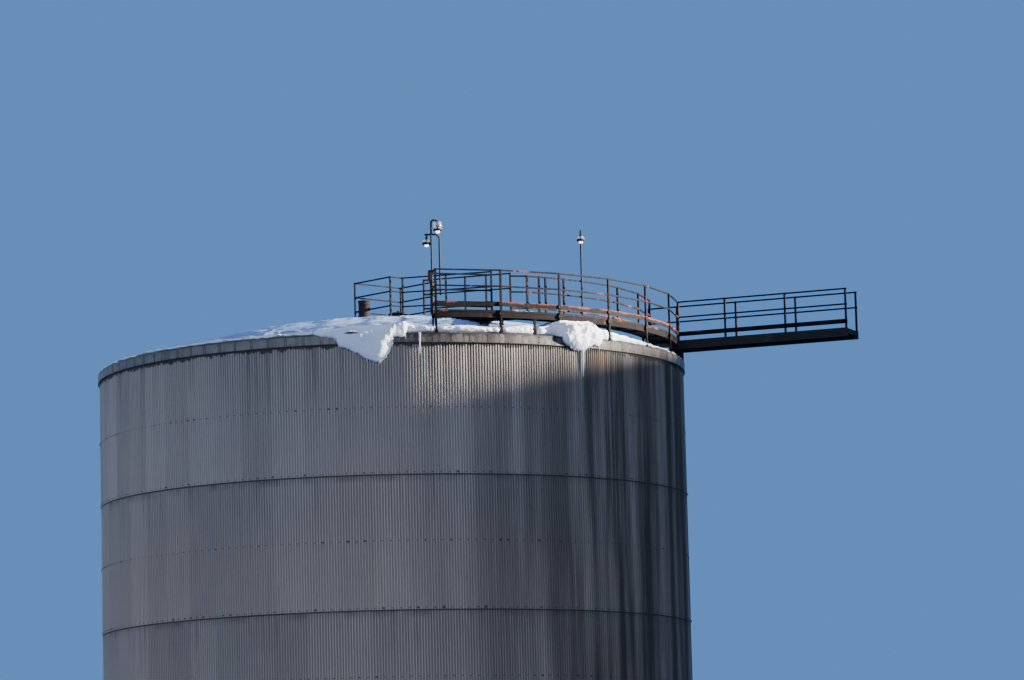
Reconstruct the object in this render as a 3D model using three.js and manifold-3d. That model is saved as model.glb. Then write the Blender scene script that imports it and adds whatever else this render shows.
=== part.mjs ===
// Vertical storage tank with an insulated, sheeted wall, a low domed roof and a roof walkway.
// Millimetres, +Z up. The origin is the centre of the base's underside, and the link bridge leaves along +X.
import * as THREE from 'three';
import { mergeVertices } from 'three/addons/utils/BufferGeometryUtils.js';
import Module from 'manifold-3d';

const wasm = await Module();
wasm.setup();

// Driving dimensions
const GAP = 0.3;
const FACET = 6;
const FINE_FACET = 3;
const BELOW_ROOF = 17300;
const ABOVE_DECKS = 20000;

const base = { radius: 8300, thickness: 300 };
const wall = { outer: 8300, inner: 8180, top: 17440, segments: 6 };
const seams = { top: 13794, pitch: 3605, count: 4, lap: 90, proud: 6, bury: 20 };
const floorPlate = { radius: 8170, thickness: 30 };
const band = { outer: 8340, bottom: 17300, top: 17560 };
const roof = { rim: 8250, edge: 17500, rise: 1250, plate: 60, seatInner: 8100, rings: 4 };
const snow = { radius: 8150, crown: 190, edge: 110, kerb: 8231, lip: 8520, lipDepth: 130, hang: 8346 };
const drifts = {
  snow_overhang_left: { from: -8, to: 3, low: 16750 },
  snow_overhang_right: { from: 32.5, to: 43.5, low: 17170 },
};

const ring = { start: -57, pitch: 12.7, bays: 6, end: 19.45, posts: 8200, outer: 8174.7, inner: 7414 };
const innerLine = {
  radius: 7435, posts: [-35.5, -32.5, -30.85, -25.9, -7.7, 3.3, 15], bends: [-20.9, -14.3], split: -10,
};
const deck = { top: 18180, plate: 35, outerDepth: 125, innerDepth: 60, web: 50, tie: 60, tieDepth: 70 };
const legs = { width: 60, inner: [[-56.1, -42], [-27.5, -12.2], [6.1, 17]], outer: -37.1, cap: 130, lip: 18 };
const rail = {
  top: 1120, mid: 685, low: 245, boardLow: 140, board: 125, boardThick: 16, bar: 40, post: 50, cap: 4,
};

const bridge = { near: 2700, far: 3600, end: 12800, top: 18200, bottom: 17965, girder: 60, bearing: 8000 };
const bridgeFrames = [9160, 10960, 12760];
const bracket = { length: 200, width: 90, radius: 8216 };

const platform = { x: 140, y: 60, turn: -25, along: 1600, across: 1760, top: 18950, gate: 375 };
const slimRail = { top: 1190, mid: 780, low: 370, bar: 36, post: 42, cap: 7 };
const gangway = {
  edge: 7408, left: -43.7, right: -39, margin: 0.35, postLeft: 7370, postRight: 7300,
  fall: 6200, stringer: 60, web: 40, leg: 50, clear: 15, endClear: 60,
};

const vent = { x: -439, y: -832, radius: 185, neck: 168, collar: 90, top: 19550 };
const hatch = { x: 200, y: 90, radius: 290, curb: 250, boss: 175, grip: 45, top: 19330 };
const pole = { radius: 21, sides: 8, bend: 75, bendSteps: 4 };
const box = { radius: 7750, length: 200, depth: 100, height: 290, middle: 19190 };
const toViewer = -65.5;
const viewerRight = 24.5;

// Colours
const colours = {
  concrete: 0x9a9890, sheet: 0x8b9198, band: 0x8f8a84, steel: 0x5b5a58, snow: 0xf2f5fa,
  walkway: 0x3a302c, rail: 0x4a302a, lamp: 0x2f3032, glass: 0xe8eef2, rust: 0x6a4335,
};

// Plain helpers
const radians = THREE.MathUtils.degToRad;
const degrees = THREE.MathUtils.radToDeg;
const axis = new THREE.Vector2();
const polar = (radius, angle) => new THREE.Vector2(radius, 0).rotateAround(axis, radians(angle));
const angleOf = (x, y) => degrees(Math.atan2(y, x));
const lift = (point, z) => new THREE.Vector3(point.x, point.y, z);
const midpoint = (a, b) => a.clone().lerp(b, 0.5);
const inset = (from, to, distance) => from.clone().lerp(to, distance / from.distanceTo(to));

function toSolid(geometry) {
  const bare = new THREE.BufferGeometry();
  bare.setAttribute('position', geometry.getAttribute('position').clone());
  if (geometry.index) bare.setIndex(geometry.index.clone());
  const merged = mergeVertices(bare, 1e-3);
  const kept = [];
  const index = merged.index.array;
  for (let i = 0; i < index.length; i += 3) {
    const [a, b, c] = [index[i], index[i + 1], index[i + 2]];
    if (a !== b && b !== c && c !== a) kept.push(a, b, c);
  }
  const vertProperties = new Float32Array(merged.getAttribute('position').array);
  return new wasm.Manifold(new wasm.Mesh({ numProp: 3, vertProperties, triVerts: new Uint32Array(kept) }));
}

function toGeometry(solid) {
  const mesh = solid.getMesh();
  const geometry = new THREE.BufferGeometry();
  geometry.setAttribute('position', new THREE.BufferAttribute(mesh.vertProperties, 3));
  geometry.setIndex(new THREE.BufferAttribute(mesh.triVerts, 1));
  return geometry;
}

function fuse(geometries, cutters = []) {
  let solid = toSolid(geometries[0]);
  for (const geometry of geometries.slice(1)) solid = solid.add(toSolid(geometry));
  for (const cutter of cutters) solid = solid.subtract(toSolid(cutter));
  return toGeometry(solid);
}

// A box from a low corner to a high corner
function block(low, high) {
  const size = new THREE.Vector3().subVectors(high, low);
  const middle = new THREE.Vector3().addVectors(low, high).multiplyScalar(0.5);
  return new THREE.BoxGeometry(size.x, size.y, size.z).translate(middle.x, middle.y, middle.z);
}

// A straight bar of rectangular section between two points
function bar(from, to, width, height) {
  const along = new THREE.Vector3().subVectors(to, from);
  const length = along.length();
  along.normalize();
  const side = new THREE.Vector3(-along.y, along.x, 0).normalize();
  const up = new THREE.Vector3().crossVectors(along, side);
  const matrix = new THREE.Matrix4().makeBasis(along, side, up);
  matrix.setPosition(new THREE.Vector3().addVectors(from, to).multiplyScalar(0.5));
  return new THREE.BoxGeometry(length, width, height).applyMatrix4(matrix);
}

// A square upright that faces the given plan angle
function upright(point, low, high, width, angle) {
  const post = new THREE.BoxGeometry(width, width, high - low);
  return post.rotateZ(radians(angle)).translate(point.x, point.y, (low + high) / 2);
}

function cylinder(x, y, low, high, radius, sides = 16) {
  const drum = new THREE.CylinderGeometry(radius, radius, high - low, sides);
  return drum.rotateX(Math.PI / 2).translate(x, y, (low + high) / 2);
}

// A level plate with the given plan corners
function plate(corners, low, high) {
  const options = { depth: high - low, bevelEnabled: false };
  return new THREE.ExtrudeGeometry(new THREE.Shape(corners), options).translate(0, 0, low);
}

function arcPoints(radius, from, to, step) {
  const count = Math.max(1, Math.round(Math.abs(to - from) / step));
  return Array.from({ length: count + 1 }, (_, i) => polar(radius, from + ((to - from) * i) / count));
}

// A slab whose plan is part of a ring
function sector(inner, outer, from, to, low, high, step = FACET) {
  return plate([...arcPoints(outer, from, to, step), ...arcPoints(inner, to, from, step)], low, high);
}

function turned(profile, sides = 360 / FACET) {
  const points = profile.map(([radius, z]) => new THREE.Vector2(radius, z));
  return new THREE.LatheGeometry(points, sides).rotateX(Math.PI / 2).rotateZ(Math.PI / 2);
}

// The roof's curve
const roofSphere = (roof.rim ** 2 + roof.rise ** 2) / (2 * roof.rise);
const roofHeight = (radius) => roof.edge + roof.rise - roofSphere + Math.sqrt(roofSphere ** 2 - radius ** 2);
const roofStations = Array.from({ length: roof.rings + 1 }, (_, i) => (roof.seatInner * i) / roof.rings);

// Everything below the roof's surface, used to seat feet on it
function underRoof() {
  const beyond = 9000;
  const profile = [...roofStations, roof.rim].map((r) => [r, roofHeight(r) + GAP]);
  profile.push([beyond, roof.edge + GAP], [beyond, 16000], [0, 16000]);
  return turned(profile.reverse());
}

const tank = new THREE.Group();
const snowHoles = [];

function addPiece(name, geometry, colour, roughness = 0.8, metalness = 0.2) {
  const material = new THREE.MeshStandardMaterial({ color: colour, roughness, metalness });
  const mesh = new THREE.Mesh(geometry, material);
  mesh.name = name;
  tank.add(mesh);
}

// A leg or post that stands on the roof, with the hole that it makes in the snow
function onRoof(point, top, width, angle) {
  snowHoles.push(upright(point, BELOW_ROOF, ABOVE_DECKS, width + 10, angle));
  return upright(point, BELOW_ROOF, top, width, angle);
}

// Base, floor and wall
function buildBase() {
  addPiece('base_pad', cylinder(0, 0, 0, base.thickness, base.radius, 60), colours.concrete, 0.9, 0);
  const low = base.thickness + GAP;
  const disc = cylinder(0, 0, low, low + floorPlate.thickness, floorPlate.radius, 60);
  addPiece('tank_floor', disc, colours.steel);
}

function buildWall() {
  const turn = 360 / wall.segments;
  const slit = degrees(GAP / wall.inner) / 2;
  for (let k = 0; k < wall.segments; k += 1) {
    const from = k * turn + slit;
    const to = (k + 1) * turn - slit;
    const parts = [sector(wall.inner, wall.outer, from, to, base.thickness + GAP, wall.top)];
    for (let s = 0; s < seams.count; s += 1) {
      const z = seams.top - s * seams.pitch;
      parts.push(sector(wall.outer - seams.bury, wall.outer + seams.proud, from, to, z, z + seams.lap));
    }
    addPiece(`wall_segment_${k + 1}`, fuse(parts), colours.sheet, 0.6, 0.6);
  }
}

function buildEave() {
  const inside = wall.outer + GAP;
  const seat = wall.top + GAP;
  const lip = roof.rim + GAP;
  const profile = [
    [inside, band.bottom], [band.outer, band.bottom], [band.outer, band.top],
    [lip, band.top], [lip, seat], [inside, seat], [inside, band.bottom],
  ];
  addPiece('eave_band', turned(profile), colours.band, 0.7, 0.4);
}

function buildRoof() {
  const seat = wall.top + GAP;
  const profile = [...roofStations.map((r) => [r, roofHeight(r)]), [roof.rim, roof.edge], [roof.rim, seat]];
  profile.push([roof.seatInner, seat]);
  for (const r of [...roofStations].reverse()) profile.push([r, roofHeight(r) - roof.plate]);
  addPiece('roof_dome', turned(profile.reverse()), colours.steel);
}

// Walkway round the roof's edge
const postAngle = (k) => ring.start + k * ring.pitch;
const bridgeStart = (y) => Math.sqrt(bridge.bearing ** 2 - y ** 2);

function buildRingDeck() {
  const half = bridge.girder / 2 + GAP;
  const cut = block(
    new THREE.Vector3(bridgeStart(bridge.near) - GAP, bridge.near - half, BELOW_ROOF),
    new THREE.Vector3(bridge.end, bridge.near + half, ABOVE_DECKS),
  );
  const under = deck.top - deck.plate;
  const bury = 5;
  const length = (ring.end - ring.start) / legs.inner.length;
  const slit = 0.0015;
  legs.inner.forEach((legAngles, k) => {
    const from = ring.start + k * length + slit;
    const to = ring.start + (k + 1) * length - slit;
    const { inner, outer } = ring;
    const parts = [
      sector(inner, outer, from, to, under, deck.top, FINE_FACET),
      sector(outer - deck.web, outer, from, to, under - deck.outerDepth, under + bury, FINE_FACET),
      sector(inner, inner + deck.web, from, to, under - deck.innerDepth, under + bury, FINE_FACET),
    ];
    for (const share of [0.12, 0.5, 0.88]) {
      const angle = from + share * (to - from);
      const z = under - deck.tieDepth / 2 + bury;
      const ends = [inner + 20, outer - 20].map((r) => lift(polar(r, angle), z));
      parts.push(bar(...ends, deck.tie, deck.tieDepth));
    }
    for (const angle of legAngles) {
      const spot = polar(inner + legs.width / 2, angle);
      parts.push(onRoof(spot, under - deck.innerDepth + bury, legs.width, angle));
    }
    if (legs.outer > from && legs.outer < to) {
      const spot = polar(outer - 1 - legs.width / 2, legs.outer);
      const top = under - deck.outerDepth + bury;
      parts.push(onRoof(spot, top, legs.width, legs.outer));
      parts.push(upright(spot, top - bury - legs.lip, top, legs.cap, legs.outer));
    }
    addPiece(`ring_deck_${k + 1}`, fuse(parts, [underRoof(), cut]), colours.walkway);
  });
}

// Railings. Each stop is a plan point with its deck height, and a foot where a post stands there.
function railing(stops, heights, style, board = false) {
  const parts = [];
  stops.forEach((stop, i) => {
    if (stop.foot === undefined) return;
    const before = stops[Math.max(0, i - 1)].point;
    const after = stops[Math.min(stops.length - 1, i + 1)].point;
    const angle = stop.angle ?? angleOf(after.x - before.x, after.y - before.y);
    const top = stop.z + style.top + style.bar / 2 + style.cap;
    parts.push(upright(stop.point, stop.foot, top, style.post, angle));
  });
  for (let i = 0; i + 1 < stops.length; i += 1) {
    const [a, b] = [stops[i], stops[i + 1]];
    for (const height of heights) {
      parts.push(bar(lift(a.point, a.z + height), lift(b.point, b.z + height), style.bar, style.bar));
    }
    if (board) {
      const z = rail.boardLow + rail.board / 2;
      parts.push(bar(lift(a.point, a.z + z), lift(b.point, b.z + z), rail.boardThick, rail.board));
    }
  }
  return parts;
}

function buildOuterRails() {
  const heights = [rail.top, rail.mid];
  const last = ring.bays;
  const posts = Array.from({ length: last + 1 }, (_, k) => polar(ring.posts, postAngle(k)));
  posts[last] = new THREE.Vector2(Math.sqrt(ring.posts ** 2 - bridge.near ** 2), bridge.near);
  const onBridge = new THREE.Vector2(bridgeFrames[0], bridge.near);
  const groups = [[0, 1], [2, 3], [4, 5, 6]];
  groups.forEach((group, g) => {
    const stops = group.map((k) => ({
      point: posts[k], z: deck.top,
      foot: k === last ? bridge.top + GAP : BELOW_ROOF,
      angle: k === last ? 0 : postAngle(k),
    }));
    if (g > 0) {
      const start = midpoint(posts[group[0] - 1], posts[group[0]]);
      stops.unshift({ point: inset(start, posts[group[0]], GAP), z: deck.top });
    }
    const next = group.at(-1) === last ? onBridge : posts[group.at(-1) + 1];
    stops.push({ point: midpoint(posts[group.at(-1)], next), z: deck.top });
    addPiece(`outer_rail_${g + 1}`, fuse(railing(stops, heights, rail, true), [underRoof()]), colours.rail);
  });
  return posts;
}

// The points from which the inner rails leave the end posts of the gangway's rails
const gangwayPosts = {
  left: polar(gangway.postLeft, gangway.left),
  right: polar(gangway.postRight, gangway.right),
};
const postClear = 32;

function innerCorner() {
  const corner = polar(innerLine.radius, ring.start);
  return { corner, end: inset(gangwayPosts.left, corner, postClear) };
}

function buildInnerRails() {
  const heights = [rail.top, rail.mid, rail.low];
  const foot = deck.top + GAP;
  const bare = (point) => ({ point, z: deck.top });
  const stopAt = (point) => ({ point, z: deck.top, foot, angle: angleOf(point.x, point.y) });
  const { corner, end } = innerCorner();
  const atEndPost = polar(ring.posts - rail.post / 2 - GAP, ring.start);
  const across = [bare(atEndPost), stopAt(corner), bare(end)];
  addPiece('inner_rail_end', fuse(railing(across, heights, rail)), colours.rail);

  const angles = [...innerLine.posts, ...innerLine.bends].sort((low, high) => low - high);
  const stops = angles.map((angle) => {
    const point = polar(innerLine.radius, angle);
    return innerLine.bends.includes(angle) ? bare(point) : stopAt(point);
  });
  const far = new THREE.Vector2(Math.sqrt(innerLine.radius ** 2 - bridge.far ** 2), bridge.far);
  const split = angles.findIndex((angle) => angle > innerLine.split);
  const middle = midpoint(stops[split - 1].point, stops[split].point);
  const start = inset(gangwayPosts.right, stops[0].point, postClear);
  const first = [bare(start), ...stops.slice(0, split), bare(middle)];
  const resume = inset(middle, stops[split].point, GAP);
  const atBridge = inset(far, stops.at(-1).point, rail.post);
  const second = [bare(resume), ...stops.slice(split), bare(atBridge)];
  addPiece('inner_rail_1', fuse(railing(first, heights, rail)), colours.rail);
  addPiece('inner_rail_2', fuse(railing(second, heights, rail)), colours.rail);
}

// Link bridge
function buildBridge() {
  const half = bridge.girder / 2;
  const sides = { near: bridge.near, far: bridge.far };
  for (const [name, y] of Object.entries(sides)) {
    const low = new THREE.Vector3(bridgeStart(y), y - half, bridge.bottom);
    const high = new THREE.Vector3(bridge.end, y + half, bridge.top);
    addPiece(`bridge_girder_${name}`, block(low, high), colours.walkway);
    const seatX = Math.sqrt(bracket.radius ** 2 - y ** 2);
    const seat = block(
      new THREE.Vector3(seatX - bracket.length / 2, y - bracket.width / 2, BELOW_ROOF),
      new THREE.Vector3(seatX + bracket.length / 2, y + bracket.width / 2, bridge.bottom - GAP),
    );
    const underBand = block(new THREE.Vector3(6000, 0, 17000), new THREE.Vector3(9000, 5000, band.top + GAP));
    addPiece(`bridge_seat_${name}`, fuse([seat], [underRoof(), underBand]), colours.walkway);
    snowHoles.push(upright(new THREE.Vector2(seatX, y), BELOW_ROOF, 19000, bracket.length + 10, 0));
  }
  const inY = bridge.far - half - GAP;
  const lowY = bridge.near + half + GAP;
  const from = ring.end + 0.003;
  const reach = degrees(Math.asin(inY / ring.inner));
  const outline = [
    ...arcPoints(ring.inner, reach, from, FINE_FACET),
    polar(ring.outer, from),
    new THREE.Vector2(Math.sqrt(ring.outer ** 2 - lowY ** 2) + 40, lowY),
    new THREE.Vector2(bridge.end, lowY),
    new THREE.Vector2(bridge.end, inY),
  ];
  const under = deck.top - deck.plate;
  const girderCuts = [bridge.near, bridge.far].map((y) => block(
    new THREE.Vector3(bridgeStart(y) - GAP, y - half - GAP, 17000),
    new THREE.Vector3(bridge.end + 100, y + half + GAP, 18300),
  ));
  const ribs = bridgeFrames.map((x) => block(
    new THREE.Vector3(x - deck.tie / 2, lowY, under - deck.tieDepth),
    new THREE.Vector3(x + deck.tie / 2, inY, under + 5),
  ));
  addPiece('bridge_deck', fuse([plate(outline, under, deck.top), ...ribs], girderCuts), colours.walkway);
}

function buildBridgeRails(posts) {
  const heights = [rail.top, rail.mid];
  const foot = bridge.top + GAP;
  const bare = (x, y) => ({ point: new THREE.Vector2(x, y), z: deck.top });
  const stop = (x, y) => ({ ...bare(x, y), foot, angle: 0 });
  const start = (posts[ring.bays].x + bridgeFrames[0]) / 2 + GAP;
  const near = [
    bare(start, bridge.near), ...bridgeFrames.map((x) => stop(x, bridge.near)), bare(bridge.end, bridge.near),
  ];
  addPiece('bridge_rail_near', fuse(railing(near, heights, rail, true)), colours.rail);
  const spots = [innerLine.radius, ring.posts].map((radius) => Math.sqrt(radius ** 2 - bridge.far ** 2));
  const far = [...[...spots, ...bridgeFrames].map((x) => stop(x, bridge.far)), bare(bridge.end, bridge.far)];
  addPiece('bridge_rail_far', fuse(railing(far, heights, rail)), colours.rail);
}

// Platform at the roof's crown
function platformPoint(along, across) {
  const turn = radians(platform.turn);
  return new THREE.Vector2(
    platform.x + along * Math.cos(turn) - across * Math.sin(turn),
    platform.y + along * Math.sin(turn) + across * Math.cos(turn),
  );
}

function rectangle(a, b) {
  return [[-a, -b], [a, -b], [a, b], [-a, b]].map(([u, v]) => platformPoint(u, v));
}

function buildPlatform() {
  const a = platform.along / 2;
  const b = platform.across / 2;
  const corners = rectangle(a - 60, b - 60);
  const feet = corners.map((point) => onRoof(point, platform.top - 5, legs.width, platform.turn));
  const well = cylinder(hatch.x, hatch.y, BELOW_ROOF, ABOVE_DECKS, hatch.radius + 15);
  const pipe = cylinder(vent.x, vent.y, BELOW_ROOF, ABOVE_DECKS, vent.radius + 15);
  snowHoles.push(well, pipe, plate(rectangle(a + 5, b + 5), platform.top - deck.plate - GAP, ABOVE_DECKS));
  const floor = plate(rectangle(a, b), platform.top - deck.plate, platform.top);
  addPiece('crown_deck', fuse([floor, ...feet], [underRoof(), well]), colours.walkway);

  const heights = [slimRail.top, slimRail.mid, slimRail.low];
  const e = slimRail.post / 2;
  const bare = (u, v) => ({ point: platformPoint(u, v), z: platform.top });
  const stop = (u, v) => ({ ...bare(u, v), foot: platform.top + GAP, angle: platform.turn });
  const reach = slimRail.post + GAP;
  const runs = {
    crown_rail_1: [stop(-a + e, -b + e), stop(a - e, -b + e), stop(a - e, -platform.gate - e)],
    crown_rail_2: [bare(-a + e, -b + reach), stop(-a + e, b - e)],
    crown_rail_3: [bare(-a + reach, b - e), stop(a - e, b - e), stop(a - e, platform.gate + e)],
  };
  for (const [name, stops] of Object.entries(runs)) {
    addPiece(name, fuse(railing(stops, heights, slimRail)), colours.rail);
  }
}

// Gangway from the crown down to the walkway. It is made level, and then falls away from the platform's edge.
function buildGangway() {
  const edge = platform.along / 2;
  const fallLine = polar(1, platform.turn);
  const slope = (platform.top - deck.top) / gangway.fall;
  const fall = new THREE.Matrix4().set(
    1, 0, 0, 0,
    0, 1, 0, 0,
    -slope * fallLine.x, -slope * fallLine.y, 1, slope * fallLine.dot(platformPoint(edge, 0)),
    0, 0, 0, 1,
  );
  const quad = (grow) => {
    const spread = platform.gate + slimRail.post + grow;
    const turn = gangway.margin + degrees(grow / gangway.edge);
    return [
      platformPoint(edge + GAP, -spread), polar(gangway.edge, gangway.left - turn),
      polar(gangway.edge, gangway.right + turn), platformPoint(edge + GAP, spread),
    ];
  };
  const under = platform.top - deck.plate;
  const parts = [plate(quad(0), under, platform.top)];
  const [upperLeft, lowerLeft, lowerRight, upperRight] = quad(-gangway.web / 2 - 5);
  for (const [upper, lower] of [[upperLeft, lowerLeft], [upperRight, lowerRight]]) {
    const ends = [inset(upper, lower, gangway.endClear), inset(lower, upper, gangway.endClear)];
    const z = under - gangway.stringer / 2 + 4;
    parts.push(bar(lift(ends[0], z), lift(ends[1], z), gangway.web, gangway.stringer));
    const turn = angleOf(lower.x - upper.x, lower.y - upper.y);
    for (const share of [0.12, 0.37, 0.63, 0.88]) {
      parts.push(onRoof(upper.clone().lerp(lower, share), under + 5, gangway.leg, turn));
    }
  }
  const floor = fuse(parts).applyMatrix4(fall);
  addPiece('gangway_deck', fuse([floor], [underRoof()]), colours.walkway);
  const trench = plate(quad(gangway.clear), under - gangway.stringer - gangway.clear, platform.top + 400);
  snowHoles.push(trench.applyMatrix4(fall));

  const heights = [slimRail.top, slimRail.mid, slimRail.low];
  const gate = platform.gate + slimRail.post / 2;
  const inward = edge - slimRail.post / 2;
  const runs = {
    gangway_rail_left: { from: platformPoint(inward, -gate), to: gangwayPosts.left, shares: [0.5] },
    gangway_rail_right: { from: platformPoint(inward, gate), to: gangwayPosts.right, shares: [0.49, 0.73] },
  };
  for (const [name, { from, to, shares }] of Object.entries(runs)) {
    const bare = (point) => ({ point, z: platform.top });
    const stop = (share) => ({ ...bare(from.clone().lerp(to, share)), foot: platform.top + GAP });
    const stops = [bare(inset(from, to, postClear)), ...[...shares, 1].map(stop)];
    addPiece(name, fuse(railing(stops, heights, slimRail)).applyMatrix4(fall), colours.rail);
  }
}

// Vent stub and hatch
function buildVentAndHatch() {
  const stub = [
    cylinder(vent.x, vent.y, BELOW_ROOF, vent.top - 60, vent.neck),
    cylinder(vent.x, vent.y, vent.top - vent.collar, vent.top, vent.radius),
  ];
  addPiece('vent_stub', fuse(stub, [underRoof()]), colours.rust, 0.85, 0.3);
  const cover = [
    cylinder(hatch.x, hatch.y, BELOW_ROOF, hatch.top - 80, hatch.curb),
    cylinder(hatch.x, hatch.y, hatch.top - 120, hatch.top - 60, hatch.radius),
    cylinder(hatch.x, hatch.y, hatch.top - 62, hatch.top - 20, hatch.boss),
    cylinder(hatch.x, hatch.y, hatch.top - 22, hatch.top, hatch.grip, 12),
  ];
  addPiece('roof_hatch', fuse(cover, [underRoof()]), colours.lamp, 0.8, 0.3);
}

// Lamps
// A pole's centre line: up, over a bend, out, over a second bend and down, with samples at the bends' ends
class Arm extends THREE.Curve {
  constructor(foot, low, high, reach, drop, angle) {
    super();
    this.foot = foot;
    this.out = polar(1, angle);
    const centres = [[pole.bend, high - pole.bend], [reach - pole.bend, high - pole.bend]];
    this.stations = [[0, low]];
    centres.forEach(([across, z], turn) => {
      for (let k = 0; k <= pole.bendSteps; k += 1) {
        const swing = Math.PI - (Math.PI / 2) * (turn + k / pole.bendSteps);
        this.stations.push([across + pole.bend * Math.cos(swing), z + pole.bend * Math.sin(swing)]);
      }
    });
    this.stations.push([reach, high - pole.bend - drop]);
  }

  getUtoTmapping(u) {
    return u;
  }

  getPoint(t, target = new THREE.Vector3()) {
    const last = this.stations.length - 1;
    const k = Math.min(last - 1, Math.floor(t * last + 1e-9));
    const share = t * last - k;
    const [a, b] = [this.stations[k], this.stations[k + 1]];
    const across = a[0] + share * (b[0] - a[0]);
    const z = a[1] + share * (b[1] - a[1]);
    return target.set(this.foot.x + this.out.x * across, this.foot.y + this.out.y * across, z);
  }
}

// Half sections of the lamp heads, from the pole's end down: a shade over a bulb, and an oval globe
const headProfiles = {
  shade: [
    [0, 0], [34, 0], [34, -60], [60, -80], [115, -150], [115, -190], [62, -190],
    [62, -225], [40, -253], [0, -262],
  ],
  globe: [
    [0, 0], [34, 0], [34, -15], [86, -35], [118, -100], [118, -215], [92, -226],
    [66, -240], [60, -268], [34, -284], [0, -290],
  ],
};

function buildLamps() {
  const { corner, end } = innerCorner();
  const along = end.clone().sub(corner).normalize();
  const poleOffset = pole.radius + rail.bar / 2 + GAP;
  const inward = new THREE.Vector2(-along.y, along.x).multiplyScalar(poleOffset);
  const besideRail = (distance) => corner.clone().addScaledVector(along, distance).add(inward);
  const lamps = [
    {
      name: 'end', head: 'globe', foot: besideRail(45), low: BELOW_ROOF,
      high: 20760, reach: 185, drop: 5, angle: viewerRight,
    },
    {
      name: 'rail', head: 'shade', foot: besideRail(285), low: 18720,
      high: 20380, reach: 352, drop: 5, angle: viewerRight + 180,
    },
    {
      name: 'walk', head: 'shade', foot: polar(innerLine.radius + poleOffset, innerLine.bends[0]),
      low: deck.top + GAP, high: 20680, reach: 180, drop: 30, angle: toViewer,
    },
  ];
  const section = new THREE.Shape(
    Array.from({ length: pole.sides }, (_, i) => polar(pole.radius, (360 * i) / pole.sides)),
  );
  for (const lamp of lamps) {
    const path = new Arm(lamp.foot, lamp.low, lamp.high, lamp.reach, lamp.drop, lamp.angle);
    const stem = new THREE.ExtrudeGeometry(section, { steps: path.stations.length - 1, extrudePath: path });
    addPiece(`lamp_pole_${lamp.name}`, fuse([stem], [underRoof()]), colours.lamp, 0.7, 0.4);
    const tip = path.getPoint(1);
    const profile = headProfiles[lamp.head].map(([radius, z]) => [radius, tip.z - GAP + z]).reverse();
    const head = turned(profile, 12).translate(tip.x, tip.y, 0);
    addPiece(`lamp_head_${lamp.name}`, head, colours.glass, 0.4, 0.1);
  }
  snowHoles.push(cylinder(lamps[0].foot.x, lamps[0].foot.y, BELOW_ROOF, 19000, pole.radius + 12, 12));
  const beside = polar(rail.bar / 2 + box.depth / 2 + GAP, ring.start - 90);
  const spot = polar(box.radius, ring.start).add(beside);
  const shell = new THREE.BoxGeometry(box.length, box.depth, box.height);
  shell.rotateZ(radians(ring.start)).translate(spot.x, spot.y, box.middle);
  addPiece('junction_box', shell, colours.lamp, 0.7, 0.3);
}

// Settled snow, cut clear of everything that stands on the roof
function buildSnow() {
  const stations = [...roofStations.filter((r) => r < snow.radius), snow.radius];
  const depth = (r) => snow.edge + (snow.crown - snow.edge) * (1 - (r / snow.radius) ** 2);
  const profile = stations.map((r) => [r, roofHeight(r) + depth(r)]);
  for (const r of [...stations].reverse()) profile.push([r, roofHeight(r) + GAP]);
  const cover = fuse([turned(profile.reverse())], [...snowHoles, underRoof()]);
  addPiece('snow_cover', cover, colours.snow, 0.9, 0);
  for (const [name, drift] of Object.entries(drifts)) {
    const [from, to] = [toViewer + drift.from, toViewer + drift.to];
    const parts = [
      sector(snow.kerb, snow.lip, from, to, band.top + GAP, band.top + snow.lipDepth, 2),
      sector(snow.hang, snow.lip, from + 0.6, to - 0.6, drift.low, band.top + snow.lipDepth / 2, 2),
    ];
    addPiece(name, fuse(parts), colours.snow, 0.9, 0);
  }
}

buildBase();
buildWall();
buildEave();
buildRoof();
buildRingDeck();
const outerPosts = buildOuterRails();
buildInnerRails();
buildBridge();
buildBridgeRails(outerPosts);
buildPlatform();
buildGangway();
buildVentAndHatch();
buildLamps();
buildSnow();

export default tank;
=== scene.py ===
"""A vertical storage tank: sheeted wall, snow on a low domed roof, railed walkway, link bridge and lamps."""
import logging
import math
from dataclasses import dataclass
from enum import Enum
from typing import Iterable, Sequence

import bmesh
import bpy
import numpy as np
from mathutils import Matrix, Vector, noise


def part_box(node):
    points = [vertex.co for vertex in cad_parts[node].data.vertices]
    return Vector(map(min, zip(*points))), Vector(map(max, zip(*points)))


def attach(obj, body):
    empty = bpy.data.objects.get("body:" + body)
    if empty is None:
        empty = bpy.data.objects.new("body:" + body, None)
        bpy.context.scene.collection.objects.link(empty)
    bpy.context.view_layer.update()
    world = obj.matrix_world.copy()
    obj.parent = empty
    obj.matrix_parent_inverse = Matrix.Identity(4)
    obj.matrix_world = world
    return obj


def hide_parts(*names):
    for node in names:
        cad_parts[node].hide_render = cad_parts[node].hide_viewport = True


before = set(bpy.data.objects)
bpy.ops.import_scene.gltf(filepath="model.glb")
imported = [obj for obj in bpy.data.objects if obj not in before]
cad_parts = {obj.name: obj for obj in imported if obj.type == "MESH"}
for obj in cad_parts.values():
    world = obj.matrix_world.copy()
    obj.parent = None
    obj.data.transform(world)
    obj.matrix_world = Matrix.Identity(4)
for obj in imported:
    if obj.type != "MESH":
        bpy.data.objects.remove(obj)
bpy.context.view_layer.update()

LOG = logging.getLogger("tank")
BODY = "root"

# The part's plan angle, in degrees, of the side that faces the viewer
TO_VIEWER = -65.5

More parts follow.
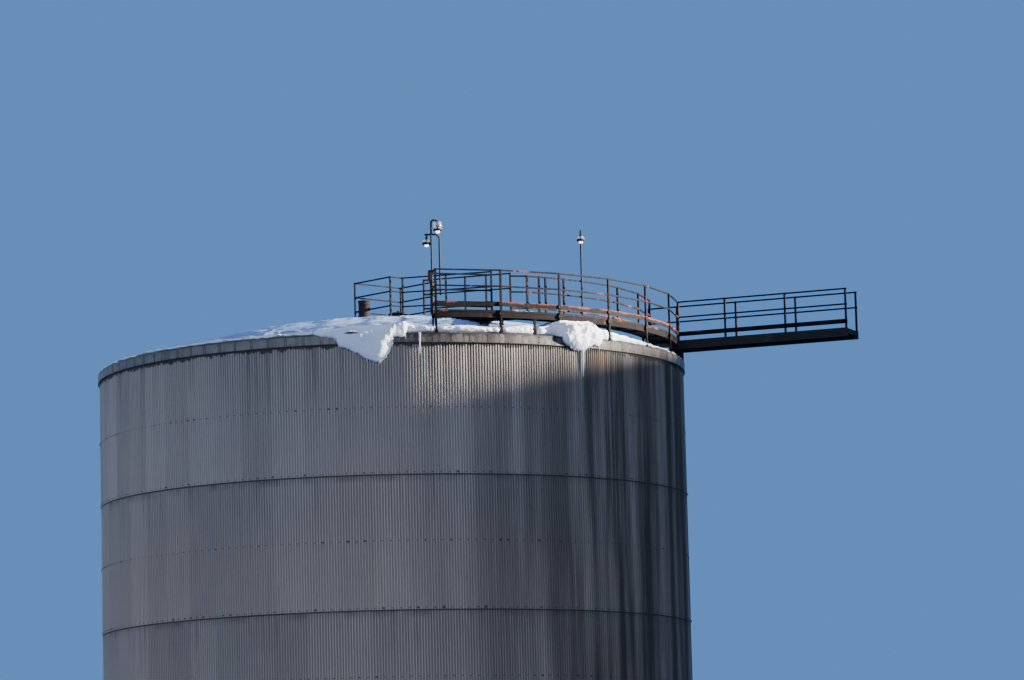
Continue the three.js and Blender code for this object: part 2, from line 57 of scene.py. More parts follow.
# Driving dimensions in metres and angles in degrees, taken from the frame where a node gives them
WALL_RADIUS = 8.300
WALL_INNER = 8.180
BASE_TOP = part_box("base_pad")[1].z
WALL_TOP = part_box("wall_segment_1")[1].z
RIBS = 684
RIB_DEPTH = 0.018
SEAM_LOW = 2.979
SEAM_PITCH = 3.605
SEAM_COUNT = 4
LAP = 0.090
BAND_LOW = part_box("eave_band")[0].z
BAND_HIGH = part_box("eave_band")[1].z
BAND_RADIUS = 8.340
BAND_JOINTS = 104
ROOF_RIM = 8.250
ROOF_EDGE = 17.500
ROOF_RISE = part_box("roof_dome")[1].z - ROOF_EDGE
DECK_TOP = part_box("ring_deck_1")[1].z
RING_START = -57.0
RING_END = 19.45
RING_INNER = 7.414
RING_OUTER = 8.1747
POST_COUNT = 6
POST_PITCH = 12.7
POST_RADIUS = 8.200
BRIDGE_NEAR = 2.700
BRIDGE_FAR = 3.600
BRIDGE_END = 12.800
CROWN_CENTRE = (0.140, 0.060)
CROWN_TURN = -25.0
CROWN_ALONG = 1.600
CROWN_ACROSS = 1.760
CROWN_TOP = 18.950
GANGWAY_WIDE = 0.834
GANGWAY_NARROW = 0.640
# The middle of the gangway's foot: its distance from the tank's axis and its part angle
GANGWAY_FOOT = (7.408, -41.35)

# How near two points of a mesh have to be to become one
MERGE_WITHIN = 0.0004

RGB = tuple[float, float, float]
Size = tuple[float, float, float]
Point = tuple[float, float]
# From one value to another
Span = tuple[float, float]
# A soft oval on the wall: its angle from the viewer's side, half width, middle height and half height
Patch = tuple[float, float, float, float]
Socket = bpy.types.NodeSocket
NodeTree = bpy.types.NodeTree
Material = bpy.types.Material
Mesh = bpy.types.Mesh


class Sort(Enum):
    """The kinds of node tree that this script builds."""

    GEOMETRY = "GeometryNodeTree"
    SHADER = "ShaderNodeTree"


class Light(Enum):
    """The studio's soft lights: name, energy, colour, softness, and plan direction and height in degrees."""

    FRONT = ("front", 1.08, (1.0, 0.92, 0.83), 40.0, -5.0, 7.0)
    BACK = ("back", 0.62, (1.0, 0.95, 0.89), 60.0, 195.0, 20.0)


class Head(Enum):
    """The kinds of lamp head: half sections of the cap, the bulb and the glass, from the pole's end down."""

    BELL = (
        ((0.0, 0.0), (0.024, 0.0), (0.034, -0.010), (0.036, -0.040), (0.050, -0.048), (0.050, -0.056),
         (0.020, -0.060), (0.018, -0.118), (0.060, -0.140), (0.110, -0.146), (0.114, -0.154),
         (0.114, -0.196), (0.106, -0.204), (0.066, -0.206), (0.0, -0.206)),
        ((0.0, -0.200), (0.050, -0.202), (0.056, -0.222), (0.052, -0.244), (0.038, -0.256), (0.020, -0.261),
         (0.0, -0.262)),
        ((0.046, -0.052), (0.064, -0.066), (0.086, -0.096), (0.102, -0.128), (0.108, -0.148),
         (0.104, -0.148), (0.098, -0.130), (0.082, -0.099), (0.061, -0.070), (0.046, -0.057)),
    )
    GLOBE = (
        ((0.0, 0.060), (0.030, 0.060), (0.036, 0.050), (0.050, 0.046), (0.050, 0.036), (0.028, 0.030),
         (0.028, -0.040), (0.048, -0.050), (0.048, -0.110), (0.022, -0.126), (0.024, -0.150),
         (0.070, -0.166), (0.112, -0.172), (0.116, -0.182), (0.116, -0.214), (0.104, -0.224),
         (0.060, -0.226), (0.0, -0.226)),
        ((0.0, -0.220), (0.056, -0.222), (0.060, -0.242), (0.052, -0.266), (0.032, -0.284), (0.0, -0.289)),
        ((0.046, 0.042), (0.078, 0.034), (0.104, 0.006), (0.116, -0.040), (0.119, -0.090), (0.115, -0.168),
         (0.110, -0.172), (0.106, -0.166), (0.113, -0.090), (0.110, -0.042), (0.098, 0.001), (0.074, 0.028),
         (0.046, 0.036)),
    )


# Small helpers for places, colours and the roof's curve
def polar(radius: float, degrees: float) -> Point:
    """The plan point at a radius and a part angle in degrees."""
    return radius * math.cos(math.radians(degrees)), radius * math.sin(math.radians(degrees))


def direction(degrees: float, lift: float = 0.0) -> Vector:
    """The unit vector at a plan angle and a height over the level, both in degrees."""
    plan, rise = math.radians(degrees), math.radians(lift)
    return Vector((math.cos(plan) * math.cos(rise), math.sin(plan) * math.cos(rise), math.sin(rise)))


def roof_height(radius: float) -> float:
    """The height of the roof plate over the ground at a plan radius."""
    sphere = (ROOF_RIM ** 2 + ROOF_RISE ** 2) / (2 * ROOF_RISE)
    return ROOF_EDGE + ROOF_RISE - sphere + math.sqrt(sphere ** 2 - radius ** 2)


def smooth_step(value: float) -> float:
    """A soft ramp from 0 to 1 over the values 0 to 1."""
    t = min(1.0, max(0.0, value))
    return t * t * (3 - 2 * t)


def along_outline(points: Sequence[Point], at: float) -> float:
    """The height of an outline of (place, height) points at one place."""
    places, heights = zip(*points)
    return float(np.interp(at, places, heights))


def lifted(profile: Iterable[Point], height: float) -> list[Point]:
    """A half section raised by a height."""
    return [(radius, height + z) for radius, z in profile]


def middle_of(node: str) -> Point:
    """The middle of a CAD node in plan."""
    low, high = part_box(node)
    return (low.x + high.x) / 2, (low.y + high.y) / 2


def toned(colour: RGB, share: float) -> RGB:
    """A colour made darker or lighter by a share, and never over 1."""
    return tuple(min(1.0, part * share) for part in colour)


def placed(name: str, data: bpy.types.ID) -> bpy.types.Object:
    """A new object in the scene that holds the given mesh, camera or light."""
    made = bpy.data.objects.new(name, data)
    bpy.context.scene.collection.objects.link(made)
    return made


# Node trees
class Graph:
    """One node tree under construction, with short calls for adding and joining its nodes."""

    def __init__(self, tree: NodeTree) -> None:
        """Keeps the tree that the calls add to."""
        self.tree = tree

    def feed(self, socket: Socket, value: object) -> None:
        """Links a socket to another one, or sets its own value.

        Args:
            socket: the input that takes the value.
            value: an output socket, or a plain value.
        """
        if isinstance(value, Socket):
            self.tree.links.new(value, socket)
        else:
            socket.default_value = value

    def node(self, kind: str, inputs: dict | None = None, **settings: object) -> bpy.types.Node:
        """Adds a node.

        Args:
            kind: the node's type name.
            inputs: values or sockets by input name or index.
            settings: the node's own properties.

        Returns:
            The new node.
        """
        made = self.tree.nodes.new(kind)
        for name, value in settings.items():
            setattr(made, name, value)
        for key, value in (inputs or {}).items():
            self.feed(made.inputs[key], value)
        return made

    def math(self, operation: str, *values: object) -> Socket:
        """The result of a Math node on one to three values."""
        return self.node("ShaderNodeMath", dict(enumerate(values)), operation=operation).outputs[0]

    def times(self, first: object, second: object) -> Socket:
        """The product of two values."""
        return self.math("MULTIPLY", first, second)

    def plus(self, first: object, second: object) -> Socket:
        """The sum of two values."""
        return self.math("ADD", first, second)

    def minus(self, first: object, second: object) -> Socket:
        """The first value less the second."""
        return self.math("SUBTRACT", first, second)

    def most(self, first: object, second: object) -> Socket:
        """The larger of two values."""
        return self.math("MAXIMUM", first, second)

    def span(self, value: object, low: object, high: object, start: float = 0.0, end: float = 1.0) -> Socket:
        """The value carried from low..high to start..end, held at both ends."""
        inputs = {"Value": value, "From Min": low, "From Max": high, "To Min": start, "To Max": end}
        return self.node("ShaderNodeMapRange", inputs).outputs["Result"]

    def blend(self, share: object, first: object, second: object, mode: str = "MIX") -> Socket:
        """The mix of two colours by a share."""
        colours = [(*c, 1.0) if isinstance(c, tuple) else c for c in (first, second)]
        inputs = {0: share, 6: colours[0], 7: colours[1]}
        return self.node("ShaderNodeMix", inputs, data_type="RGBA", blend_type=mode).outputs[2]

    def tinted(self, colour: object, tint: object) -> Socket:
        """A colour multiplied by another one."""
        return self.blend(1.0, colour, tint, "MULTIPLY")

    def combine(self, x: object, y: object, z: object) -> Socket:
        """A vector from three numbers."""
        return self.node("ShaderNodeCombineXYZ", {0: x, 1: y, 2: z}).outputs[0]

    def split(self, vector: Socket) -> list[Socket]:
        """The three numbers of a vector."""
        return list(self.node("ShaderNodeSeparateXYZ", {0: vector}).outputs)

    def scaled(self, vector: Socket, scale: Socket) -> Socket:
        """A vector made longer by a scale."""
        return self.node("ShaderNodeVectorMath", {0: vector, "Scale": scale}, operation="SCALE").outputs[0]

    def on_ring(self, radius: object, turn: Socket, height: object) -> Socket:
        """The place at a distance from the axis, an angle round it and a height."""
        x, y = (self.times(radius, self.math(part, turn)) for part in ("COSINE", "SINE"))
        return self.combine(x, y, height)

    def speckle(self, place: object, scale: float, detail: float = 3.0,
                stretch: tuple = (1, 1, 1)) -> Socket:
        """Noise from 0 to 1 at a place, with its pattern stretched along the axes."""
        moved = self.node("ShaderNodeVectorMath", {0: place, 1: stretch}, operation="MULTIPLY").outputs[0]
        inputs = {"Vector": moved, "Scale": scale, "Detail": detail, "Roughness": 0.6}
        return self.node("ShaderNodeTexNoise", inputs).outputs[0]


class Group(Graph):
    """A node group with named inputs and outputs."""

    def __init__(self, name: str, sort: Sort) -> None:
        """Starts an empty group of the given sort."""
        super().__init__(bpy.data.node_groups.new(name, sort.value))
        self.entry = self.tree.nodes.new("NodeGroupInput")
        self.exit = self.tree.nodes.new("NodeGroupOutput")

    def takes(self, kind: str, *names: str) -> list[Socket]:
        """Adds a named input for each name.

        Args:
            kind: the sockets' kind, such as Float or Material.
            names: the inputs' names.

        Returns:
            The sockets inside the group.
        """
        for name in names:
            self.tree.interface.new_socket(name=name, in_out="INPUT", socket_type="NodeSocket" + kind)
        return [self.entry.outputs[name] for name in names]

    def gives(self, name: str, kind: str, value: Socket) -> None:
        """Adds a named output and joins a value to it."""
        self.tree.interface.new_socket(name=name, in_out="OUTPUT", socket_type="NodeSocket" + kind)
        self.tree.links.new(value, self.exit.inputs[name])


# Geometry trees
class Grower(Group):
    """A geometry tree that is turned into a plain mesh."""

    def __init__(self, name: str, entering: bool = False) -> None:
        """Starts a tree with its material input, after the mesh that enters where the tree takes one."""
        super().__init__(name, Sort.GEOMETRY)
        self.entering = self.takes("Geometry", "Entering")[0] if entering else None
        self.finish = self.takes("Material", "Finish")[0]

    def points(self, count: Socket, place: Socket) -> Socket:
        """As many points as the count says, each at its own place."""
        line = self.node("GeometryNodeMeshLine", {"Count": count})
        inputs = {"Geometry": line.outputs[0], "Position": place}
        return self.node("GeometryNodeSetPosition", inputs).outputs[0]

    def index(self) -> Socket:
        """The number of each point."""
        return self.node("GeometryNodeInputIndex").outputs[0]

    def chance(self, low: float, high: float, seed: Socket) -> Socket:
        """A random number between two values for each point."""
        return self.node("FunctionNodeRandomValue", {2: low, 3: high, 8: seed}, data_type="FLOAT").outputs[1]

    def set_out(self, points: Socket, thing: Socket, turn: Socket, size: object = (1, 1, 1)) -> None:
        """Ends the tree in copies of one thing, set on points."""
        inputs = {"Points": points, "Instance": thing, "Rotation": turn, "Scale": size}
        self.close(self.node("GeometryNodeInstanceOnPoints", inputs).outputs[0])

    def close(self, geometry: Socket) -> None:
        """Ends the tree in Realize Instances and Set Material."""
        real = self.node("GeometryNodeRealizeInstances", {0: geometry}).outputs[0]
        dressed = self.node("GeometryNodeSetMaterial", {"Geometry": real, "Material": self.finish})
        self.gives("Geometry", "Geometry", dressed.outputs[0])

    def grow(self, finish: Material, entering: Mesh | None = None, **values: object) -> Mesh:
        """Runs the tree once.

        Args:
            finish: the material of what it makes.
            entering: the mesh that enters the tree, where it takes one.
            values: its inputs by name, with underscores for spaces.

        Returns:
            A plain mesh with the tree's result.
        """
        carrier = placed("carrier", entering or bpy.data.meshes.new("carrier"))
        modifier = carrier.modifiers.new("grow", "NODES")
        modifier.node_group = self.tree
        given = {name.replace("_", " ").capitalize(): value for name, value in values.items()}
        given["Finish"] = finish
        for item in self.tree.interface.items_tree:
            if item.in_out == "INPUT" and item.name in given:
                modifier[item.identifier] = given[item.name]
        bpy.context.view_layer.update()
        graph = bpy.context.evaluated_depsgraph_get()
        result = bpy.data.meshes.new_from_object(carrier.evaluated_get(graph), depsgraph=graph)
        carrier.modifiers.remove(modifier)
        bpy.data.objects.remove(carrier)
        return result


def course_tree() -> Grower:
    """A ring of ribbed sheet with a real thickness, leaning out at its foot to lap over the next one."""
    tree = Grower("ribbed course")
    radius, depth = tree.takes("Float", "Radius", "Rib depth")
    low, high, lean, sheet = tree.takes("Float", "Low", "High", "Lean", "Sheet")
    ribs, facets = tree.takes("Int", "Ribs", "Facets")
    columns = tree.plus(tree.times(ribs, facets), 1.0)
    inputs = {"Size X": 1.0, "Size Y": 4.0, "Vertices X": columns, "Vertices Y": 5}
    grid = tree.node("GeometryNodeMeshGrid", inputs)
    across, row, _ = tree.split(tree.node("GeometryNodeInputPosition").outputs[0])
    turn = tree.times(tree.plus(across, 0.5), math.tau)
    wave = tree.math("COSINE", tree.times(turn, ribs))
    flat = tree.most(tree.math("MINIMUM", tree.times(wave, 1.7), 1.0), -1.0)
    rib = tree.times(tree.minus(flat, 1.0), tree.times(depth, 0.5))
    # The grid's five rows are the outer foot, outer top, inner top, inner foot and the outer foot again
    corner = tree.math("ROUND", tree.plus(row, 2.0))
    top = tree.math("COMPARE", corner, 1.5, 0.9)
    inside = tree.math("COMPARE", corner, 2.5, 0.9)
    shift = tree.minus(tree.times(tree.minus(1.0, top), lean), tree.times(inside, sheet))
    height = tree.plus(low, tree.times(top, tree.minus(high, low)))
    place = tree.on_ring(tree.plus(tree.plus(radius, rib), shift), turn, height)
    bent = tree.node("GeometryNodeSetPosition", {"Geometry": grid.outputs[0], "Position": place})
    closed = tree.node("GeometryNodeMergeByDistance", {"Geometry": bent.outputs[0], "Distance": 0.0002})
    tree.close(closed.outputs[0])
    return tree


def screw_ring_tree() -> Grower:
    """A level ring of screw heads on their washers, each facing outwards, some bigger than others."""
    tree = Grower("ring of screws")
    radius, height, offset = tree.takes("Float", "Radius", "Height", "Offset")
    head, uneven = tree.takes("Float", "Head", "Uneven")
    count, seed = tree.takes("Int", "Count", "Seed")
    turn = tree.plus(tree.times(tree.index(), tree.math("DIVIDE", math.tau, count)), offset)
    place = tree.on_ring(radius, turn, height)
    outward = tree.node("FunctionNodeAlignRotationToVector", {"Vector": place}, axis="Z").outputs[0]
    both = tree.node("GeometryNodeJoinGeometry")
    # The washer and the nut: their sides, and their top, foot and depth as shares of the head's radius
    for sides, *shares in ((7, 0.62, 1.0, 0.35), (6, 0.38, 0.45, 0.75)):
        top, foot, depth = (tree.times(head, share) for share in shares)
        inputs = {"Vertices": sides, "Radius Top": top, "Radius Bottom": foot, "Depth": depth}
        tree.feed(both.inputs[0], tree.node("GeometryNodeMeshCone", inputs).outputs[0])
    size = tree.plus(1.0, tree.times(uneven, tree.math("POWER", tree.chance(0.0, 1.0, seed), 6.0)))
    tree.set_out(tree.points(count, place), both.outputs[0], outward, size)
    return tree


def bar_ring_tree() -> Grower:
    """Small blocks set at even steps round part of a circle, each turned to the circle's centre."""
    tree = Grower("ring of bars")
    radius, height, start, step = tree.takes("Float", "Radius", "Height", "Start", "Step")
    count = tree.takes("Int", "Count")[0]
    size = tree.takes("Vector", "Size")[0]
    turn = tree.plus(start, tree.times(tree.index(), step))
    bar = tree.node("GeometryNodeMeshCube", {"Size": size}).outputs[0]
    facing = tree.node("FunctionNodeAxisAngleToRotation", {"Axis": (0, 0, 1), "Angle": turn}).outputs[0]
    tree.set_out(tree.points(count, tree.on_ring(radius, turn, height)), bar, facing)
    return tree


def bar_row_tree() -> Grower:
    """Small blocks set at even steps along a straight line, all turned the same way."""
    tree = Grower("row of bars")
    first, step, size, turn = tree.takes("Vector", "First", "Step", "Size", "Turn")
    count = tree.takes("Int", "Count")[0]
    line = tree.node("GeometryNodeMeshLine", {"Count": count, "Start Location": first, "Offset": step})
    bar = tree.node("GeometryNodeMeshCube", {"Size": size}).outputs[0]
    facing = tree.node("FunctionNodeEulerToRotation", {0: turn}).outputs[0]
    tree.set_out(line.outputs[0], bar, facing)
    return tree


def pipe_tree() -> Grower:
    """A round pipe along the edges of the mesh that enters the tree."""
    tree = Grower("pipe", entering=True)
    radius = tree.takes("Float", "Radius")[0]
    curve = tree.node("GeometryNodeMeshToCurve", {0: tree.entering}).outputs[0]
    section = tree.node("GeometryNodeCurvePrimitiveCircle", {"Resolution": 14, "Radius": radius}).outputs[0]
    inputs = {"Curve": curve, "Profile Curve": section, "Fill Caps": True}
    tree.close(tree.node("GeometryNodeCurveToMesh", inputs).outputs[0])
    return tree


def icicle_tree() -> Grower:
    """Hanging spikes of ice at the points of the mesh that enters the tree, of uneven length."""
    tree = Grower("icicles", entering=True)
    width, length = tree.takes("Float", "Width", "Length")
    seed = tree.takes("Int", "Seed")[0]
    inputs = {"Vertices": 7, "Side Segments": 3, "Radius Top": 0.002, "Radius Bottom": width,
              "Depth": length}
    spike = tree.node("GeometryNodeMeshCone", inputs).outputs[0]
    down = tree.node("FunctionNodeEulerToRotation", {0: (math.pi, 0.0, 0.0)}).outputs[0]
    chance = tree.chance(0.25, 1.0, seed)
    thin = tree.math("POWER", chance, 0.5)
    tree.set_out(tree.entering, spike, down, tree.combine(thin, thin, chance))
    return tree


# Meshes made in code
def mesh_of(vertices: Sequence, faces: Sequence) -> Mesh:
    """A mesh from points and faces, with doubles merged and faces turned outwards."""
    made = bpy.data.meshes.new("shape")
    made.from_pydata([tuple(v) for v in vertices], [], [tuple(f) for f in faces])
    return mended(made)


def mended(mesh: Mesh) -> Mesh:
    """The same mesh, with its doubles merged and its faces turned outwards."""
    work = bmesh.new()
    work.from_mesh(mesh)
    bmesh.ops.remove_doubles(work, verts=work.verts, dist=MERGE_WITHIN)
    bmesh.ops.dissolve_degenerate(work, edges=work.edges, dist=1e-5)
    bmesh.ops.recalc_face_normals(work, faces=work.faces)
    work.to_mesh(mesh)
    work.free()
    return mesh


def joined(meshes: Iterable[Mesh]) -> Mesh:
    """One mesh that holds all the given ones."""
    work = bmesh.new()
    for mesh in meshes:
        work.from_mesh(mesh)
    made = bpy.data.meshes.new("joined")
    work.to_mesh(made)
    work.free()
    return made


def grid_faces(columns: int, rows: int, wrap: bool) -> list[tuple[int, int, int, int]]:
    """The faces between columns of points, where each column holds the same number of rows.

    Args:
        columns: the number of columns.
        rows: the points in a column, joined from the last back to the first.
        wrap: whether the last column joins the first.

    Returns:
        Faces of four points each.
    """
    faces = []
    for column in range(columns if wrap else columns - 1):
        here, there = column * rows, ((column + 1) % columns) * rows
        for row in range(rows):
            after = (row + 1) % rows
            faces.append((here + row, there + row, there + after, here + after))
    return faces


def turned(profile: Sequence[Point], steps: int, centre: Point = (0.0, 0.0)) -> Mesh:
    """A closed body turned about an upright axis.

    Args:
        profile: (radius, height) points that close on themselves or on the axis.
        steps: the number of facets round it.
        centre: the axis in plan.

    Returns:
        The mesh.
    """
    vertices = []
    for step in range(steps):
        angle = math.tau * step / steps
        for radius, height in profile:
            x, y = radius * math.cos(angle), radius * math.sin(angle)
            vertices.append((centre[0] + x, centre[1] + y, height))
    return mesh_of(vertices, grid_faces(steps, len(profile), True))


def block(size: Size, centre: Sequence[float], turn: float, round_by: float) -> Mesh:
    """A block with softened edges.

    Args:
        size: its length, width and height.
        centre: its middle.
        turn: its plan angle in degrees.
        round_by: how far its edges are rounded.

    Returns:
        The mesh.
    """
    work = bmesh.new()
    bmesh.ops.create_cube(work, size=1.0)
    bmesh.ops.scale(work, vec=Vector(size), verts=work.verts)
    bmesh.ops.bevel(work, geom=work.edges[:], offset=round_by, segments=2, profile=0.6, affect="EDGES")
    spin = Matrix.Rotation(math.radians(turn), 4, "Z")
    bmesh.ops.transform(work, matrix=Matrix.Translation(Vector(centre)) @ spin, verts=work.verts)
    made = bpy.data.meshes.new("block")
    work.to_mesh(made)
    work.free()
    return made


def path_mesh(points: Sequence[Sequence[float]]) -> Mesh:
    """A mesh of one open line of points."""
    made = bpy.data.meshes.new("path")
    made.from_pydata([tuple(p) for p in points], [(i, i + 1) for i in range(len(points) - 1)], [])
    return made


def piece(name: str, mesh: Mesh, finish: Material, stands_for: Sequence[str] = (),
          smooth: bool = False) -> None:
    """Puts a finished mesh into the scene as a named piece of the tank.

    Args:
        name: the piece's name.
        mesh: its mesh, in the tank's frame.
        finish: its material.
        stands_for: the CAD nodes that it replaces.
        smooth: whether its faces are shaded smooth.
    """
    mesh.name = name
    mesh.materials.clear()
    mesh.materials.append(finish)
    mesh.polygons.foreach_set("use_smooth", [smooth] * len(mesh.polygons))
    made = placed(name, mesh)
    if stands_for:
        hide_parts(*stands_for)
    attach(made, BODY)
    LOG.info("%s: %d faces", name, len(mesh.polygons))


def dress(names: Iterable[str], finish: Material) -> None:
    """Gives CAD nodes a finish without touching their meshes."""
    for name in names:
        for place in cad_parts[name].material_slots:
            place.material = finish
        LOG.info("%s: finished", name)


# Shader groups that several finishes share
class Effects:
    """The shader groups, each built once."""

    def __init__(self) -> None:
        """Builds every group."""
        self.runs = self._runs()
        self.rust = self._rust()
        self.grain = self._grain()
        self.patch = self._patch()

    def _start(self, name: str, *numbers: str) -> tuple[Group, Socket, list[Socket]]:
        """Starts a group that takes a place and some numbers.

        Args:
            name: the group's name.
            numbers: the names of its number inputs.

        Returns:
            The group, its place and its numbers.
        """
        group = Group(name, Sort.SHADER)
        return group, group.takes("Vector", "Place")[0], group.takes("Float", *numbers)

    def _runs(self) -> NodeTree:
        """Upright streaks of dirt that water has drawn down a surface."""
        group, place, (fineness, amount) = self._start("upright runs", "Fineness", "Amount")
        scaled = group.scaled(place, fineness)
        narrow = group.speckle(scaled, 1.0, 4.0, (1.0, 1.0, 0.035))
        wide = group.speckle(scaled, 0.22, 2.0, (1.0, 1.0, 0.02))
        both = group.plus(group.times(narrow, 0.6), group.times(wide, 0.4))
        low = group.minus(0.68, group.times(amount, 0.3))
        group.gives("Mask", "Float", group.span(both, low, group.plus(low, 0.17)))
        return group.tree

    def _rust(self) -> NodeTree:
        """Patches of rust, with their mask and their uneven colour."""
        group, place, (scale, amount) = self._start("rust patches", "Scale", "Amount")
        scaled = group.scaled(place, scale)
        rough = group.speckle(scaled, 1.0, 8.0)
        fine = group.speckle(scaled, 7.0, 4.0)
        low = group.minus(0.72, group.times(amount, 0.44))
        group.gives("Mask", "Float", group.span(rough, low, group.plus(low, 0.07)))
        group.gives("Colour", "Color", group.blend(fine, (0.035, 0.017, 0.011), (0.20, 0.075, 0.03)))
        return group.tree

    def _grain(self) -> NodeTree:
        """A fine uneven surface, as a value and as a normal."""
        group, place, (scale, depth) = self._start("surface grain", "Scale", "Depth")
        value = group.speckle(group.scaled(place, scale), 1.0, 5.0)
        bump = group.node("ShaderNodeBump", {"Height": value, "Distance": depth})
        group.gives("Value", "Float", value)
        group.gives("Normal", "Vector", bump.outputs[0])
        return group.tree

    def _patch(self) -> NodeTree:
        """One soft oval patch on the round wall, at a plan angle and a height."""
        names = ("Angle", "Half width", "Middle", "Half height")
        group, place, (angle, half_width, middle, half_height) = self._start("wall patch", *names)
        x, y, z = group.split(place)
        cosine, sine = group.math("COSINE", angle), group.math("SINE", angle)
        side = group.minus(group.times(y, cosine), group.times(x, sine))
        front = group.plus(group.times(x, cosine), group.times(y, sine))
        shares = []
        for offset, half in ((side, half_width), (group.minus(z, middle), half_height)):
            share = group.math("ABSOLUTE", group.math("DIVIDE", offset, half))
            shares.append(group.math("POWER", share, 2.0))
        soft = group.span(group.plus(*shares), 1.3, 0.35)
        group.gives("Mask", "Float", group.times(soft, group.math("GREATER_THAN", front, 0.0)))
        return group.tree


# Finishes
class Shader(Graph):
    """A material with its surface shader and the object's own coordinates."""

    def __init__(self, name: str, effects: Effects) -> None:
        """Starts an empty material."""
        self.material = bpy.data.materials.new(name)
        self.material.use_nodes = True
        super().__init__(self.material.node_tree)
        self.tree.nodes.clear()
        self.effects = effects
        self.surface = self.node("ShaderNodeBsdfPrincipled")
        end = self.node("ShaderNodeOutputMaterial")
        self.tree.links.new(self.surface.outputs[0], end.inputs[0])
        self.place = self.node("ShaderNodeTexCoord").outputs["Object"]
        self.x, self.y, self.z = self.split(self.place)

    def use(self, group: NodeTree, **values: object) -> dict[str, Socket]:
        """The outputs of a shared group at the object's coordinates, with its own values."""
        made = self.tree.nodes.new("ShaderNodeGroup")
        made.node_tree = group
        self.feed(made.inputs["Place"], self.place)
        for name, value in values.items():
            self.feed(made.inputs[name.replace("_", " ").capitalize()], value)
        return {socket.name: socket for socket in made.outputs}

    def patch(self, patch: Patch) -> Socket:
        """The mask of a soft patch on the wall."""
        angle, half_width, middle, half_height = patch
        return self.use(self.effects.patch, angle=math.radians(TO_VIEWER + angle), half_width=half_width,
                        middle=middle, half_height=half_height)["Mask"]

    def runs(self, fineness: float, amount: float) -> Socket:
        """The mask of upright runs of dirt."""
        return self.use(self.effects.runs, fineness=fineness, amount=amount)["Mask"]

    def from_axis(self) -> Socket:
        """A place's level distance from the tank's axis."""
        return self.math("SQRT", self.plus(self.times(self.x, self.x), self.times(self.y, self.y)))

    def round_axis(self) -> Socket:
        """A place's angle round the tank's axis."""
        return self.math("ARCTAN2", self.y, self.x)

    def towards(self, view_angle: float) -> Socket:
        """A place's distance from the axis, measured level towards an angle from the viewer's side."""
        x, y = polar(1.0, TO_VIEWER + view_angle)
        return self.plus(self.times(self.x, x), self.times(self.y, y))

    def paint(self, colour: object, roughness: object, normal: object = None, **plain: object) -> Material:
        """Joins the finished colour, roughness and normal to the surface shader.

        Args:
            colour: the base colour.
            roughness: the roughness.
            normal: the surface normal, where it varies.
            plain: other inputs of the shader that are constant, by name.

        Returns:
            The material.
        """
        self.feed(self.surface.inputs["Base Color"], colour)
        self.feed(self.surface.inputs["Roughness"], roughness)
        if normal is not None:
            self.feed(self.surface.inputs["Normal"], normal)
        for name, value in plain.items():
            self.surface.inputs[name.replace("_", " ")].default_value = value
        return self.material


